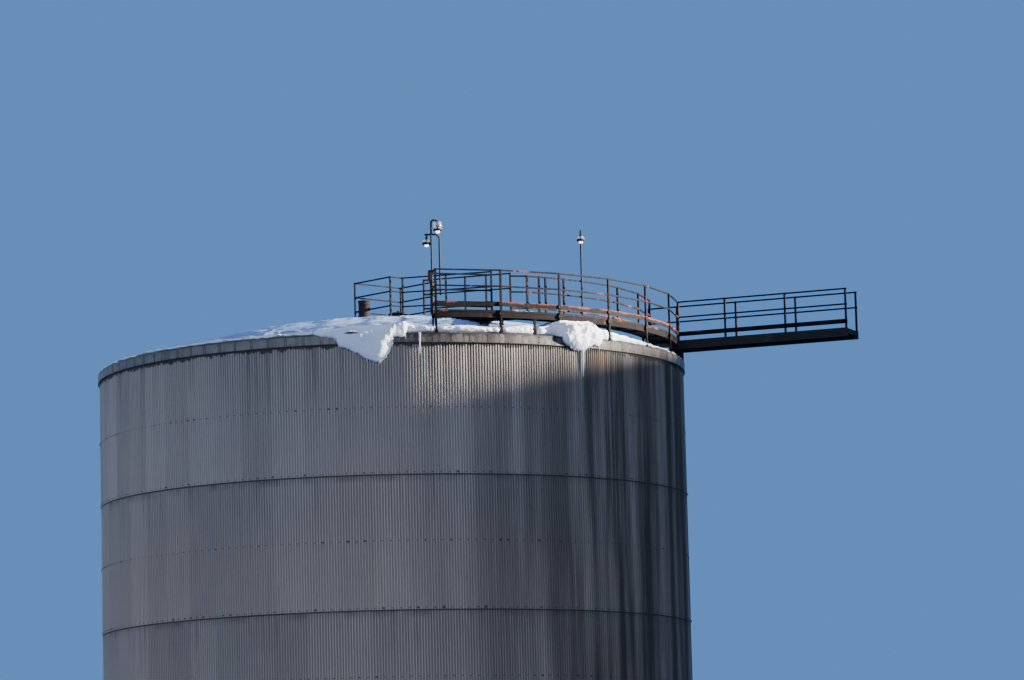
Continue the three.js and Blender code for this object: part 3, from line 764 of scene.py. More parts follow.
@dataclass(frozen=True)
class SheetFinish:
    """Weathered ribbed sheeting with its own tone on each sheet, grooves darkened by dirt and painted shade,
    dark runs, painted shade under the laps and the band, and streaky painted shade on one side.
    """

    name: str = "weathered sheeting"
    base: RGB = (0.362, 0.311, 0.264)
    lower: RGB = (0.368, 0.298, 0.232)
    lower_until: float = 11.5
    base_from: float = 15.5
    groove_dirt_and_shade: RGB = (0.096, 0.086, 0.078)
    # The colour of runs of dirt, also used for the painted shade on one side.
    grime_and_shade: RGB = (0.022, 0.021, 0.020)
    seam_shade_and_dirt: RGB = (0.018, 0.017, 0.017)
    under_band_shade_and_dirt: RGB = (0.020, 0.018, 0.017)
    ochre: RGB = (0.30, 0.165, 0.050)
    rime: RGB = (0.50, 0.52, 0.55)
    sheets_round: int = 57
    faint_soot: Patch = (11.5, 0.85, 17.3, 1.5)
    soot: Patch = (47.0, 0.75, 15.8, 4.2)
    ochre_run: Patch = (43.4, 0.50, 17.06, 0.40)
    wet_runs: tuple[Patch, Patch] = ((38.3, 0.050, 16.0, 1.25), (6.2, 0.045, 16.75, 0.55))
    # The side of the wall, as an angle from the viewer's side, that takes streaky painted shade.
    painted_shade_side: float = 75.0

    def make(self, effects: Effects) -> Material:
        """Builds the material from the shared effects."""
        s = Shader(self.name, effects)
        mottled = s.speckle(s.place, 1.6, 6.0, (1, 1, 0.5))
        level = s.math("DIVIDE", s.minus(s.z, SEAM_LOW), SEAM_PITCH)
        course = s.math("FLOOR", level)
        under = s.times(s.minus(1.0, s.minus(level, course)), SEAM_PITCH)
        plain = self._sheets(s, course, mottled)
        stained = self._stained(s, plain, under)
        marked = self._marked(s, stained, mottled)
        seamed = self._seamed(s, marked, under, mottled)
        # Painted shade, broken into streaks like soot, darkens the wall towards one side.
        side_shade = s.span(s.towards(self.painted_shade_side), 2.4, 7.4, 0.0, 0.94)
        soot_and_side_shade = s.times(side_shade, s.span(s.speckle(s.place, 1.1, 4.0, (1, 1, 0.05)), 0.36, 0.60, 0.25, 1.0))
        darkened = s.blend(soot_and_side_shade, seamed, self.grime_and_shade)
        grain = s.use(effects.grain, scale=26.0, depth=0.00012)
        rough = s.plus(s.span(grain["Value"], 0.2, 0.8, 0.5, 0.74), s.times(soot_and_side_shade, 0.22))
        return s.paint(darkened, rough, grain["Normal"], Metallic=0.25, Specular_IOR_Level=0.4)

    def _sheets(self, s: Shader, course: Socket, mottled: Socket) -> Socket:
        """The colour of the clean sheets, each with its own tone, and darker in the grooves with dirt and
        painted shade.
        """
        sheet = s.math("FLOOR", s.times(s.round_axis(), self.sheets_round / math.tau))
        cell = s.combine(sheet, course, 0.0)
        chance = s.node("ShaderNodeTexWhiteNoise", {"Vector": cell}, noise_dimensions="2D").outputs["Value"]
        tone = s.span(s.plus(s.times(chance, 0.55), s.times(mottled, 0.45)), 0.1, 0.9)
        base = s.blend(s.span(s.z, self.lower_until, self.base_from), self.lower, self.base)
        sheets = s.blend(tone, s.tinted(base, (0.82, 0.82, 0.82)), s.tinted(base, (1.16, 1.16, 1.16)))
        # The grooves are darkened with dirt and with painted shade.
        deep, shallow = WALL_RADIUS - 0.85 * RIB_DEPTH, WALL_RADIUS - 0.12 * RIB_DEPTH
        return s.blend(s.span(s.from_axis(), deep, shallow, 0.72, 0.0), sheets, self.groove_dirt_and_shade)

    def _stained(self, s: Shader, colour: Socket, under: Socket) -> Socket:
        """The colour under runs of dirt, which are strongest at the top and below each seam."""
        high = s.span(s.z, WALL_TOP - 2.6, WALL_TOP, 0.16, 0.75)
        below_seam = s.span(under, 0.0, 1.3, 0.55, 0.12)
        share = s.times(s.most(high, below_seam), s.most(s.runs(3.2, 0.42), s.runs(11.0, 0.5)))
        stained = s.blend(share, colour, self.grime_and_shade)
        broad = s.most(s.times(s.patch(self.faint_soot), 0.55), s.patch(self.soot))
        streaks = s.span(s.speckle(s.place, 8.5, 4.0, (1, 1, 0.012)), 0.44, 0.56)
        return s.blend(s.times(broad, s.times(streaks, 0.8)), stained, self.grime_and_shade)

    def _marked(self, s: Shader, colour: Socket, mottled: Socket) -> Socket:
        """The colour with an ochre run and with lime where meltwater runs down."""
        drawn = s.span(s.speckle(s.place, 7.0, 3.0, (1, 1, 0.03)), 0.42, 0.62, 0.08, 0.62)
        ochred = s.blend(s.times(s.patch(self.ochre_run), drawn), colour, self.ochre)
        wet = s.most(*(s.patch(run) for run in self.wet_runs))
        return s.blend(s.times(wet, s.span(mottled, 0.35, 0.6, 0.08, 0.5)), ochred, self.rime)

    def _seamed(self, s: Shader, colour: Socket, under: Socket, mottled: Socket) -> Socket:
        """The colour with dark lines of painted shade under the laps, dirt blurred below them, and a ragged
        strip of painted shade and dripped dirt under the eave band.
        """
        # A dark line of painted shade under each lap's edge, with dirt blurred below it.
        line = s.span(under, 0.02, 0.055, 0.98, 0.0)
        blurred = s.times(s.span(under, 0.0, 0.24, 0.6, 0.0), s.span(mottled, 0.4, 0.62))
        seamed = s.blend(s.most(line, blurred), colour, self.seam_shade_and_dirt)
        # A ragged dark strip under the eave band: painted shade, with dirt dripping from it.
        drip = s.span(s.speckle(s.place, 6.0, 5.0, (1, 1, 0.15)), 0.42, 0.62, 0.035, 0.13)
        eave = s.math("LESS_THAN", s.minus(BAND_LOW, s.z), drip)
        return s.blend(s.times(eave, 0.85), seamed, self.under_band_shade_and_dirt)


@dataclass(frozen=True)
class StainedFinish:
    """Painted or zinc-coated metal with upright black runs and small rust marks."""

    name: str
    base: RGB
    runs: float = 0.45
    rust: float = 0.2
    fineness: float = 5.0
    roughness: float = 0.62
    metallic: float = 0.3
    gloss: float = 0.5
    dirt: RGB = (0.03, 0.028, 0.026)

    def marked(self, s: Shader, colour: Socket) -> Socket:
        """The colour with the marks of one piece alone on it, of which plain metal has none."""
        return colour

    def make(self, effects: Effects) -> Material:
        """Builds the material from the shared effects."""
        s = Shader(self.name, effects)
        mottled = s.span(s.speckle(s.place, 2.4, 6.0), 0.3, 0.7)
        light = s.blend(mottled, toned(self.base, 0.78), toned(self.base, 1.2))
        stained = s.blend(s.times(s.runs(self.fineness, self.runs), 0.8), light, self.dirt)
        rust = s.use(effects.rust, scale=4.0, amount=self.rust)
        rusted = s.blend(s.times(rust["Mask"], 0.85), stained, rust["Colour"])
        grain = s.use(effects.grain, scale=40.0, depth=0.0012)
        rough = s.span(grain["Value"], 0.2, 0.8, self.roughness - 0.1, self.roughness + 0.16)
        return s.paint(self.marked(s, rusted), rough, grain["Normal"], Metallic=self.metallic,
                       Specular_IOR_Level=self.gloss)


@dataclass(frozen=True)
class BandFinish(StainedFinish):
    """The eave band's metal: black lines beside its joints, soot and painted shade along its top, a painted
    pipe shadow, and streaky painted shade on one side.
    """

    # The black of the marks, also used for the painted shade and shadow.
    black: RGB = (0.020, 0.018, 0.017)
    # A painted shadow of a pipe on the band's right.
    painted_pipe_shadow: Patch = (55.0, 2.3, BAND_HIGH, 0.9)
    # The band's side, as an angle from the viewer's side, that takes streaky painted shade and heavier soot
    # on top.
    painted_shade_side: float = 30.0

    def marked(self, s: Shader, colour: Socket) -> Socket:
        """The colour with the band's marks, its painted shadow and its painted shade on it."""
        # The first joint is a third of a step round from the part's x axis, as the straps are
        step = s.math("FRACT", s.minus(s.times(s.round_axis(), BAND_JOINTS / math.tau), 1 / 3))
        near = s.math("MINIMUM", step, s.minus(1.0, step))
        lines = s.times(s.math("COMPARE", near, 0.052, 0.022), 0.75)
        ragged = s.span(s.speckle(s.place, 5.0, 5.0, (1, 1, 0.4)), 0.40, 0.64, 0.012, 0.17)
        side = s.towards(self.painted_shade_side)
        # The ragged dark top edge is partly soot and partly painted shade under the snow lip.
        top = s.math("LESS_THAN", s.minus(BAND_HIGH, s.z), ragged)
        soot = s.times(top, s.span(side, 6.4, 7.7, 0.12, 0.90))
        hem = s.span(s.z, BAND_LOW + 0.035, BAND_LOW + 0.012, 0.0, 0.9)
        # The painted shadow of a pipe, made patchy.
        painted_pipe_shadow = s.times(s.patch(self.painted_pipe_shadow), s.span(s.speckle(s.place, 3.0), 0.34, 0.54, 0.35, 0.8))
        marks = s.most(s.most(s.most(lines, soot), hem), painted_pipe_shadow)
        # Streaks of soot and painted shade darken the side that faces the painted-shade angle.
        streaks = s.span(s.speckle(s.place, 6.0, 4.0, (1, 1, 0.10)), 0.44, 0.60, 0.50, 0.16)
        shaded = s.blend(s.span(side, 6.4, 7.9), colour, s.tinted(colour, streaks))
        return s.blend(marks, shaded, self.black)


@dataclass(frozen=True)
class RailFinish:
    """Red oxide paint worn through to dark rust, with most of it left along the kick boards."""

    name: str
    paint_left: float
    red: RGB = (0.150, 0.028, 0.017)
    pale: RGB = (0.180, 0.048, 0.030)
    dark: RGB = (0.0036, 0.0032, 0.0038)
    rusted: float = 0.065
    board_low: float = DECK_TOP + 0.12
    board_high: float = DECK_TOP + 0.28

    def make(self, effects: Effects) -> Material:
        """Builds the material from the shared effects."""
        s = Shader(self.name, effects)
        worn = s.speckle(s.place, 2.1, 7.0)
        fine = s.speckle(s.place, 17.0, 5.0)
        above, below = s.math("GREATER_THAN", s.z, self.board_low), s.math("LESS_THAN", s.z, self.board_high)
        flaked = s.span(s.z, self.board_low + 0.05, self.board_low + 0.13, -0.16, 0.13)
        spared = s.times(s.times(s.times(above, below), flaked), min(1.0, self.paint_left * 2.0))
        edge = s.minus(0.70 - 0.34 * self.paint_left, spared)
        left = s.span(s.plus(s.times(worn, 0.75), s.times(fine, 0.25)), edge, s.plus(edge, 0.05))
        turn = s.minus(s.round_axis(), math.radians(RING_START))
        bay = s.math("FRACT", s.plus(s.math("DIVIDE", turn, math.radians(POST_PITCH)), 0.5))
        post = s.math("COMPARE", bay, 0.5, 0.018)
        paint = s.blend(s.span(fine, 0.35, 0.7), self.red, self.pale)
        rust = s.use(effects.rust, scale=9.0, amount=0.55)
        bare = s.blend(s.times(rust["Mask"], self.rusted), self.dark, rust["Colour"])
        colour = s.blend(s.times(left, s.minus(0.88, s.times(post, 0.60))), bare, paint)
        grain = s.use(effects.grain, scale=60.0, depth=0.0015)
        return s.paint(colour, s.span(fine, 0.2, 0.8, 0.6, 0.88), grain["Normal"], Specular_IOR_Level=0.10)


@dataclass(frozen=True)
class SnowFinish:
    """Snow with a wind-crusted face, bluish painted shade over its top and one side, and painted shade on
    its face.
    """

    name: str = "wind-packed snow"
    white: RGB = (0.87, 0.88, 0.90)
    shade: RGB = (0.54, 0.62, 0.75)
    # The blue of the painted shade over the roof's top.
    blue: RGB = (0.27, 0.40, 0.67)
    # A painted shade that darkens the snow towards one side.
    shaded_side_tint: RGB = (0.66, 0.74, 0.86)
    shaded_snow_side: float = -65.0
    # Painted shade over the front face of the left overhang.
    painted_face_shade: Patch = (-7.5, 1.15, 17.2, 0.5)
    # A thin dark crack near the top of the left overhang, drawn as painted shade.
    slit: Patch = (-7.2, 0.21, 17.585, 0.035)
    slit_shade: RGB = (0.02, 0.022, 0.026)

    def make(self, effects: Effects) -> Material:
        """Builds the material from the shared effects."""
        s = Shader(self.name, effects)
        drift = s.speckle(s.place, 0.9, 6.0, (1, 1, 3))
        fine = s.speckle(s.place, 9.0, 6.0)
        radius = s.from_axis()
        # The roof's top takes a painted blue shade, patchy with the drift.
        painted_shade_top = s.blend(s.span(drift, 0.36, 0.64, 1.0, 0.72), self.white, self.blue)
        top = s.blend(s.span(s.towards(self.shaded_snow_side), 0.5, 5.5), painted_shade_top, s.tinted(painted_shade_top, self.shaded_side_tint))
        # The face mixes white with painted shade by the drift, and takes painted shade over the left
        # overhang's face.
        crust_with_shade = s.blend(s.span(drift, 0.3, 0.62, 0.5, 0.0), self.white, self.shade)
        face = s.blend(s.times(s.patch(self.painted_face_shade), 0.55), crust_with_shade, self.shade)
        # Inside the rim the top's painted shade is used, and the face's colour on the rim.
        colour = s.blend(s.span(radius, 7.90, 8.08), top, face)
        slit = s.times(s.patch(self.slit), s.span(fine, 0.25, 0.4, 0.6, 1.0))
        marked = s.blend(slit, colour, self.slit_shade)
        inputs = {"Height": s.plus(drift, s.times(fine, 0.22)), "Distance": 0.12,
                  "Strength": s.span(radius, 7.75, 8.05, 0.28, 0.75)}
        bump = s.node("ShaderNodeBump", inputs).outputs[0]
        return s.paint(marked, s.span(fine, 0.2, 0.8, 0.55, 0.8), bump, Specular_IOR_Level=0.35)


@dataclass(frozen=True)
class ConcreteFinish:
    """Rough cast concrete with pores and darker wet-looking patches."""

    name: str = "cast concrete"
    base: RGB = (0.40, 0.385, 0.355)
    pore: RGB = (0.12, 0.115, 0.105)

    def make(self, effects: Effects) -> Material:
        """Builds the material from the shared effects."""
        s = Shader(self.name, effects)
        cloud = s.speckle(s.place, 1.1, 7.0)
        pores = s.speckle(s.place, 34.0, 3.0)
        colour = s.blend(s.span(cloud, 0.3, 0.7), toned(self.base, 0.68), self.base)
        pitted = s.blend(s.span(pores, 0.62, 0.72, 0.0, 0.6), colour, self.pore)
        height = s.minus(cloud, s.times(s.span(pores, 0.6, 0.7), 0.3))
        bump = s.node("ShaderNodeBump", {"Height": height, "Distance": 0.012}).outputs[0]
        return s.paint(pitted, s.span(pores, 0.3, 0.7, 0.8, 0.95), bump)


@dataclass(frozen=True)
class ClearFinish:
    """Ice or glass that light passes through, faintly clouded."""

    name: str
    tint: RGB
    roughness: float
    transmission: float
    index: float

    def make(self, effects: Effects) -> Material:
        """Builds the material from the shared effects."""
        s = Shader(self.name, effects)
        cloud = s.speckle(s.place, 14.0, 4.0)
        colour = s.blend(s.span(cloud, 0.35, 0.7), self.tint, toned(self.tint, 0.82))
        rough = s.span(cloud, 0.2, 0.8, self.roughness, self.roughness + 0.12)
        return s.paint(colour, rough, Transmission_Weight=self.transmission, IOR=self.index)


@dataclass(frozen=True)
class BulbFinish:
    """A pearl glass bulb, with a painted glow for the light that it catches."""

    name: str = "pearl bulb"
    pale: RGB = (0.92, 0.93, 0.95)
    dull: RGB = (0.80, 0.84, 0.88)
    painted_glow: RGB = (1.0, 0.98, 0.94)

    def make(self, effects: Effects) -> Material:
        """Builds the material from the shared effects."""
        s = Shader(self.name, effects)
        colour = s.blend(s.speckle(s.place, 22.0, 2.0), self.pale, self.dull)
        # The emission is a painted glow for the light that the pearl glass catches.
        return s.paint(colour, 0.12, Emission_Color=(*self.painted_glow, 1.0), Emission_Strength=2.6,
                       Coat_Weight=0.6)


class Finishes:
    """Every material of the tank, each built once."""

    def __init__(self) -> None:
        """Builds the materials."""
        self.effects = Effects()
        self.sheet = SheetFinish().make(self.effects)
        self.snow = SnowFinish().make(self.effects)
        self.concrete = ConcreteFinish().make(self.effects)
        self.bulb = BulbFinish().make(self.effects)
        self.ice = ClearFinish("cloudy ice", (0.86, 0.91, 0.95), 0.18, 0.5, 1.31).make(self.effects)
        self.glass = ClearFinish("lamp glass", (0.90, 0.93, 0.94), 0.02, 0.88, 1.45).make(self.effects)
        self.rail = RailFinish("worn red rail paint", 0.36).make(self.effects)
        self.red_rail = RailFinish("redder rail paint", 0.46).make(self.effects)
        self.dark_rail = RailFinish("old dark rail paint", 0.08, rusted=0.04).make(self.effects)
        band = BandFinish("stained eave metal", (0.225, 0.198, 0.170), runs=0.60, rust=0.16, fineness=6.5)
        self.band = band.make(self.effects)
        self.lining = self._stained("tank shell plate", (0.20, 0.19, 0.18), runs=0.4, rust=0.4)
        self.flashing = self._stained("foot flashing metal", (0.15, 0.14, 0.13), runs=0.5, rust=0.3,
                                      fineness=8.0)
        self.roof = self._stained("roof plate", (0.085, 0.080, 0.076), runs=0.4, rust=0.5, fineness=4.0)
        self.screw = self._stained("dull screw heads", (0.026, 0.024, 0.023), runs=0.2, rust=0.4,
                                   fineness=9.0, roughness=0.6)
        self.grating = self._stained("walkway grating", (0.10, 0.095, 0.09), runs=0.2, rust=0.4,
                                     fineness=9.0, roughness=0.6, metallic=0.5)
        self.steel = self._stained("dark walkway steel", (0.0085, 0.0075, 0.0075), runs=0.3, roughness=0.85,
                                   metallic=0.0, gloss=0.12)
        self.girder = self._stained("dull girder steel", (0.0155, 0.0150, 0.0165), runs=0.5, rust=0.16,
                                    fineness=3.5, roughness=0.7, metallic=0.0, gloss=0.2)
        self.rusty = self._stained("rusted vent", (0.020, 0.013, 0.012), runs=0.5, rust=0.26, fineness=6.0,
                                   roughness=0.8, metallic=0.0, gloss=0.2)
        self.fitting = self._stained("dark lamp fitting", (0.014, 0.013, 0.012), runs=0.2, fineness=9.0,
                                     roughness=0.68, metallic=0.0, gloss=0.2)

    def _stained(self, name: str, base: RGB, **values: float) -> Material:
        """A stained finish with its own values."""
        return StainedFinish(name, base, **values).make(self.effects)


class Trees:
    """The geometry trees, each built once."""

    def __init__(self) -> None:
        """Builds the trees."""
        self.course = course_tree()
        self.screws = screw_ring_tree()
        self.ring = bar_ring_tree()
        self.row = bar_row_tree()
        self.pipe = pipe_tree()
        self.icicles = icicle_tree()


# Camera, floor and lights
@dataclass
class Studio:
    """The viewer's place and lens, a pale floor, a plain backdrop, soft lights and a key light."""

    place: tuple[float, float, float] = (52.483, -115.163, 1.593)
    heading: float = 112.940
    pitch: float = 7.5698
    roll: float = -1.40535
    lens: float = 157.257
    sensor: float = 36.0
    nearest: float = 1.0
    furthest: float = 2000.0
    floor_half: float = 260.0
    floor_height: float = -0.01
    floor_colour: RGB = (0.78, 0.79, 0.80)
    floor_roughness: float = 0.9
    backdrop: RGB = (0.135, 0.335, 0.79)
    backdrop_strength: float = 0.80
    key_colour: RGB = (1.0, 0.91, 0.79)
    key_power: float = 2300000.0
    key_plan: float = 92.0
    key_far: float = 80.0
    key_height: float = 36.28
    key_forward: float = 8.0
    key_spread: float = 100.0
    key_blend: float = 0.0043
    key_lift: float = 35.5
    key_radius: float = 0.6

    def set_camera(self) -> None:
        """Makes the scene's camera."""
        turn, roll = math.radians(self.heading), math.radians(self.roll)
        forward = direction(self.heading, self.pitch)
        level = Vector((math.sin(turn), -math.cos(turn), 0.0))
        up = level.cross(forward)
        right = math.cos(roll) * level + math.sin(roll) * up
        top = math.cos(roll) * up - math.sin(roll) * level
        data = bpy.data.cameras.new("viewer")
        data.lens = self.lens
        data.sensor_width = self.sensor
        data.clip_start = self.nearest
        data.clip_end = self.furthest
        camera = placed("viewer", data)
        aimed = Matrix((right, top, -forward)).transposed().to_4x4()
        camera.matrix_world = Matrix.Translation(self.place) @ aimed
        bpy.context.scene.camera = camera

    def set_floor(self) -> None:
        """Lays the pale floor."""
        half, height = self.floor_half, self.floor_height
        mesh = bpy.data.meshes.new("floor")
        corners = [(x * half, y * half, height) for x, y in ((-1, -1), (1, -1), (1, 1), (-1, 1))]
        mesh.from_pydata(corners, [], [(0, 1, 2, 3)])
        material = bpy.data.materials.new("pale floor")
        material.use_nodes = True
        surface = material.node_tree.nodes["Principled BSDF"]
        surface.inputs["Base Color"].default_value = (*self.floor_colour, 1.0)
        surface.inputs["Roughness"].default_value = self.floor_roughness
        mesh.materials.append(material)
        floor = placed("floor", mesh)

    def set_lights(self) -> None:
        """Paints the backdrop and hangs the lights."""
        world = bpy.data.worlds.new("backdrop")
        world.use_nodes = True
        shade = world.node_tree.nodes["Background"]
        shade.inputs[0].default_value = (*self.backdrop, 1.0)
        shade.inputs[1].default_value = self.backdrop_strength
        bpy.context.scene.world = world
        for light in Light:
            name, energy, colour, softness, around, height = light.value
            data = bpy.data.lights.new(name, "SUN")
            data.energy = energy
            data.color = colour
            data.angle = math.radians(softness)
            towards = direction(TO_VIEWER + around, height)
            placed(name, data).rotation_euler = towards.to_track_quat("Z", "Y").to_euler()
        self._set_key()

    def _set_key(self) -> None:
        """Stands the key light far to the right, with the lower edge of its cone on the top of the wall."""
        data = bpy.data.lights.new("key", "SPOT")
        data.energy = self.key_power
        data.color = self.key_colour
        data.spot_size = math.radians(self.key_spread)
        data.spot_blend = self.key_blend
        data.shadow_soft_size = self.key_radius
        key = placed("key", data)
        away, forward = direction(TO_VIEWER + self.key_plan), direction(TO_VIEWER)
        key.location = away * self.key_far + forward * self.key_forward + Vector((0.0, 0.0, self.key_height))
        lift = math.radians(self.key_lift)
        aim = -away * math.cos(lift) + Vector((0.0, 0.0, math.sin(lift)))
        key.rotation_euler = aim.to_track_quat("-Z", "Y").to_euler()


# The parts of the tank, first what they share
@dataclass
class Assembly:
    """A part of the tank, with the finishes and the geometry trees that it is made with."""

    finishes: Finishes
    trees: Trees


# Wall and eave
@dataclass
class Cladding(Assembly):
    """The ribbed sheeting in lapped courses, its screws, its foot flashing and the shell behind it."""

    facets: int = 6
    sheet: float = 0.003
    lean: float = 0.007
    off_base: float = 0.03
    ribs_per_screw: int = 3
    over_middle: float = 0.03
    head: float = 0.020
    sunk: float = 0.001
    uneven: float = 1.1
    seed: int = 11
    steps: int = 180
    behind: float = 0.006
    foot_radius: float = WALL_RADIUS + 0.012
    flashing: tuple[Point, ...] = (
        (-0.03, 0.0), (0.02, 0.0), (0.004, 0.14), (-0.002, 0.14), (-0.002, 0.02), (-0.03, 0.01),
    )

    def seams(self) -> list[float]:
        """The lower edges of the courses over the first one, from the bottom up."""
        return [SEAM_LOW + SEAM_PITCH * k for k in range(SEAM_COUNT)]

    def build(self) -> None:
        """Makes the courses, the shell, the flashing and the screws."""
        edges = [BASE_TOP + self.off_base, *self.seams()]
        tops = [z + LAP for z in self.seams()] + [WALL_TOP]
        segments = [f"wall_segment_{k}" for k in range(1, 7)]
        for number, (low, high) in enumerate(zip(edges, tops), start=1):
            mesh = self.trees.course.grow(
                self.finishes.sheet, radius=WALL_RADIUS, rib_depth=RIB_DEPTH, ribs=RIBS, facets=self.facets,
                low=low, high=high, lean=self.lean, sheet=self.sheet)
            stands_for = segments if number == 1 else ()
            piece(f"sheet_course_{number}", mended(mesh), self.finishes.sheet, stands_for)
        behind = WALL_RADIUS - RIB_DEPTH - self.behind
        shell = [(WALL_INNER, BASE_TOP), (behind, BASE_TOP), (behind, WALL_TOP), (WALL_INNER, WALL_TOP)]
        piece("tank_shell", turned(shell, self.steps), self.finishes.lining)
        flashing = [(self.foot_radius + out, BASE_TOP + up) for out, up in self.flashing]
        piece("foot_flashing", turned(flashing, self.steps), self.finishes.flashing)
        self._screw_rows()

    def _screw_rows(self) -> None:
        """Sets rows of screws along the laps and halfway up each course."""
        lows = [BASE_TOP, *self.seams()]
        tops = [*self.seams(), BAND_LOW]
        laps = [z + LAP / 2 for z in self.seams()]
        middles = [(low + top) / 2 + self.over_middle for low, top in zip(lows, tops)]
        rows = []
        for number, height in enumerate(sorted([*laps, *middles])):
            proud = self.lean if height in laps else self.lean / 2
            rows.append(self.trees.screws.grow(
                self.finishes.screw, count=RIBS // self.ribs_per_screw, height=height, offset=0.0,
                radius=WALL_RADIUS + proud - self.sunk, head=self.head, uneven=self.uneven,
                seed=self.seed + number))
        piece("sheet_screws", joined(rows), self.finishes.screw)


@dataclass
class EaveBand(Assembly):
    """The flat band round the top of the wall, with its hems, joint straps and rivets."""

    # A strap's thickness, its width, and how much shorter it is than the band between its hems
    strap: Size = (0.006, 0.045, 0.01)
    hem: float = 0.018
    fit: float = 0.002
    steps: int = 416
    rivet_head: float = 0.012
    rivet_inset: float = 0.06
    drip_head: float = 0.011
    drip_rise: float = 0.010

    def build(self) -> None:
        """Makes the band, its straps and its screws."""
        low, high = BAND_LOW, BAND_HIGH
        inner, outer = WALL_RADIUS + 2 * self.fit, BAND_RADIUS - 0.006
        lip, seat = ROOF_RIM + self.fit, WALL_TOP + self.fit
        profile = [
            (inner, low + 0.004), (outer + 0.006, low), (outer + 0.010, low + 0.004),
            (outer + 0.008, low + self.hem), (outer, low + self.hem + 0.004), (outer, high - 0.020),
            (outer + 0.005, high - 0.014), (outer + 0.005, high - 0.003), (outer, high), (lip, high),
            (lip, seat), (inner, seat),
        ]
        band = turned(profile, self.steps)
        piece("eave_band_metal", band, self.finishes.band, ["eave_band"])
        step = math.tau / BAND_JOINTS
        thick, wide, short = self.strap
        straps = self.trees.ring.grow(
            self.finishes.band, count=BAND_JOINTS, radius=outer + 0.001, height=(low + high) / 2,
            start=step / 3, step=step, size=(thick, wide, high - low - 2 * self.hem - short))
        piece("eave_straps", straps, self.finishes.band)
        # Count, distance from the axis, height, first angle, head, unevenness and seed of each row
        rows = (
            (BAND_JOINTS, outer + 0.003, low + self.rivet_inset, step / 3, self.rivet_head, 0.8, 41),
            (BAND_JOINTS, outer + 0.003, high - self.rivet_inset, step / 3, self.rivet_head, 0.8, 41),
            (BAND_JOINTS * 2, outer + 0.006, low + self.drip_rise, 0.0, self.drip_head, 1.6, 43),
        )
        screws = [self.trees.screws.grow(self.finishes.screw, count=count, radius=radius, height=height,
                                         offset=offset, head=head, uneven=uneven, seed=seed)
                  for count, radius, height, offset, head, uneven, seed in rows]
        piece("eave_screws", joined(screws), self.finishes.screw)


# Snow
@dataclass(frozen=True)
class Overhang:
    """A tongue of snow over the eave: angles in degrees from the viewer's side, and its greatest radius.

    Its edge is given as (angle, height) points. It swells out over the first degrees, thins out between two
    angles, and has some icicles.
    """

    edge: tuple[Point, ...]
    swells: float
    thins: Span
    reach: float
    icicles: int


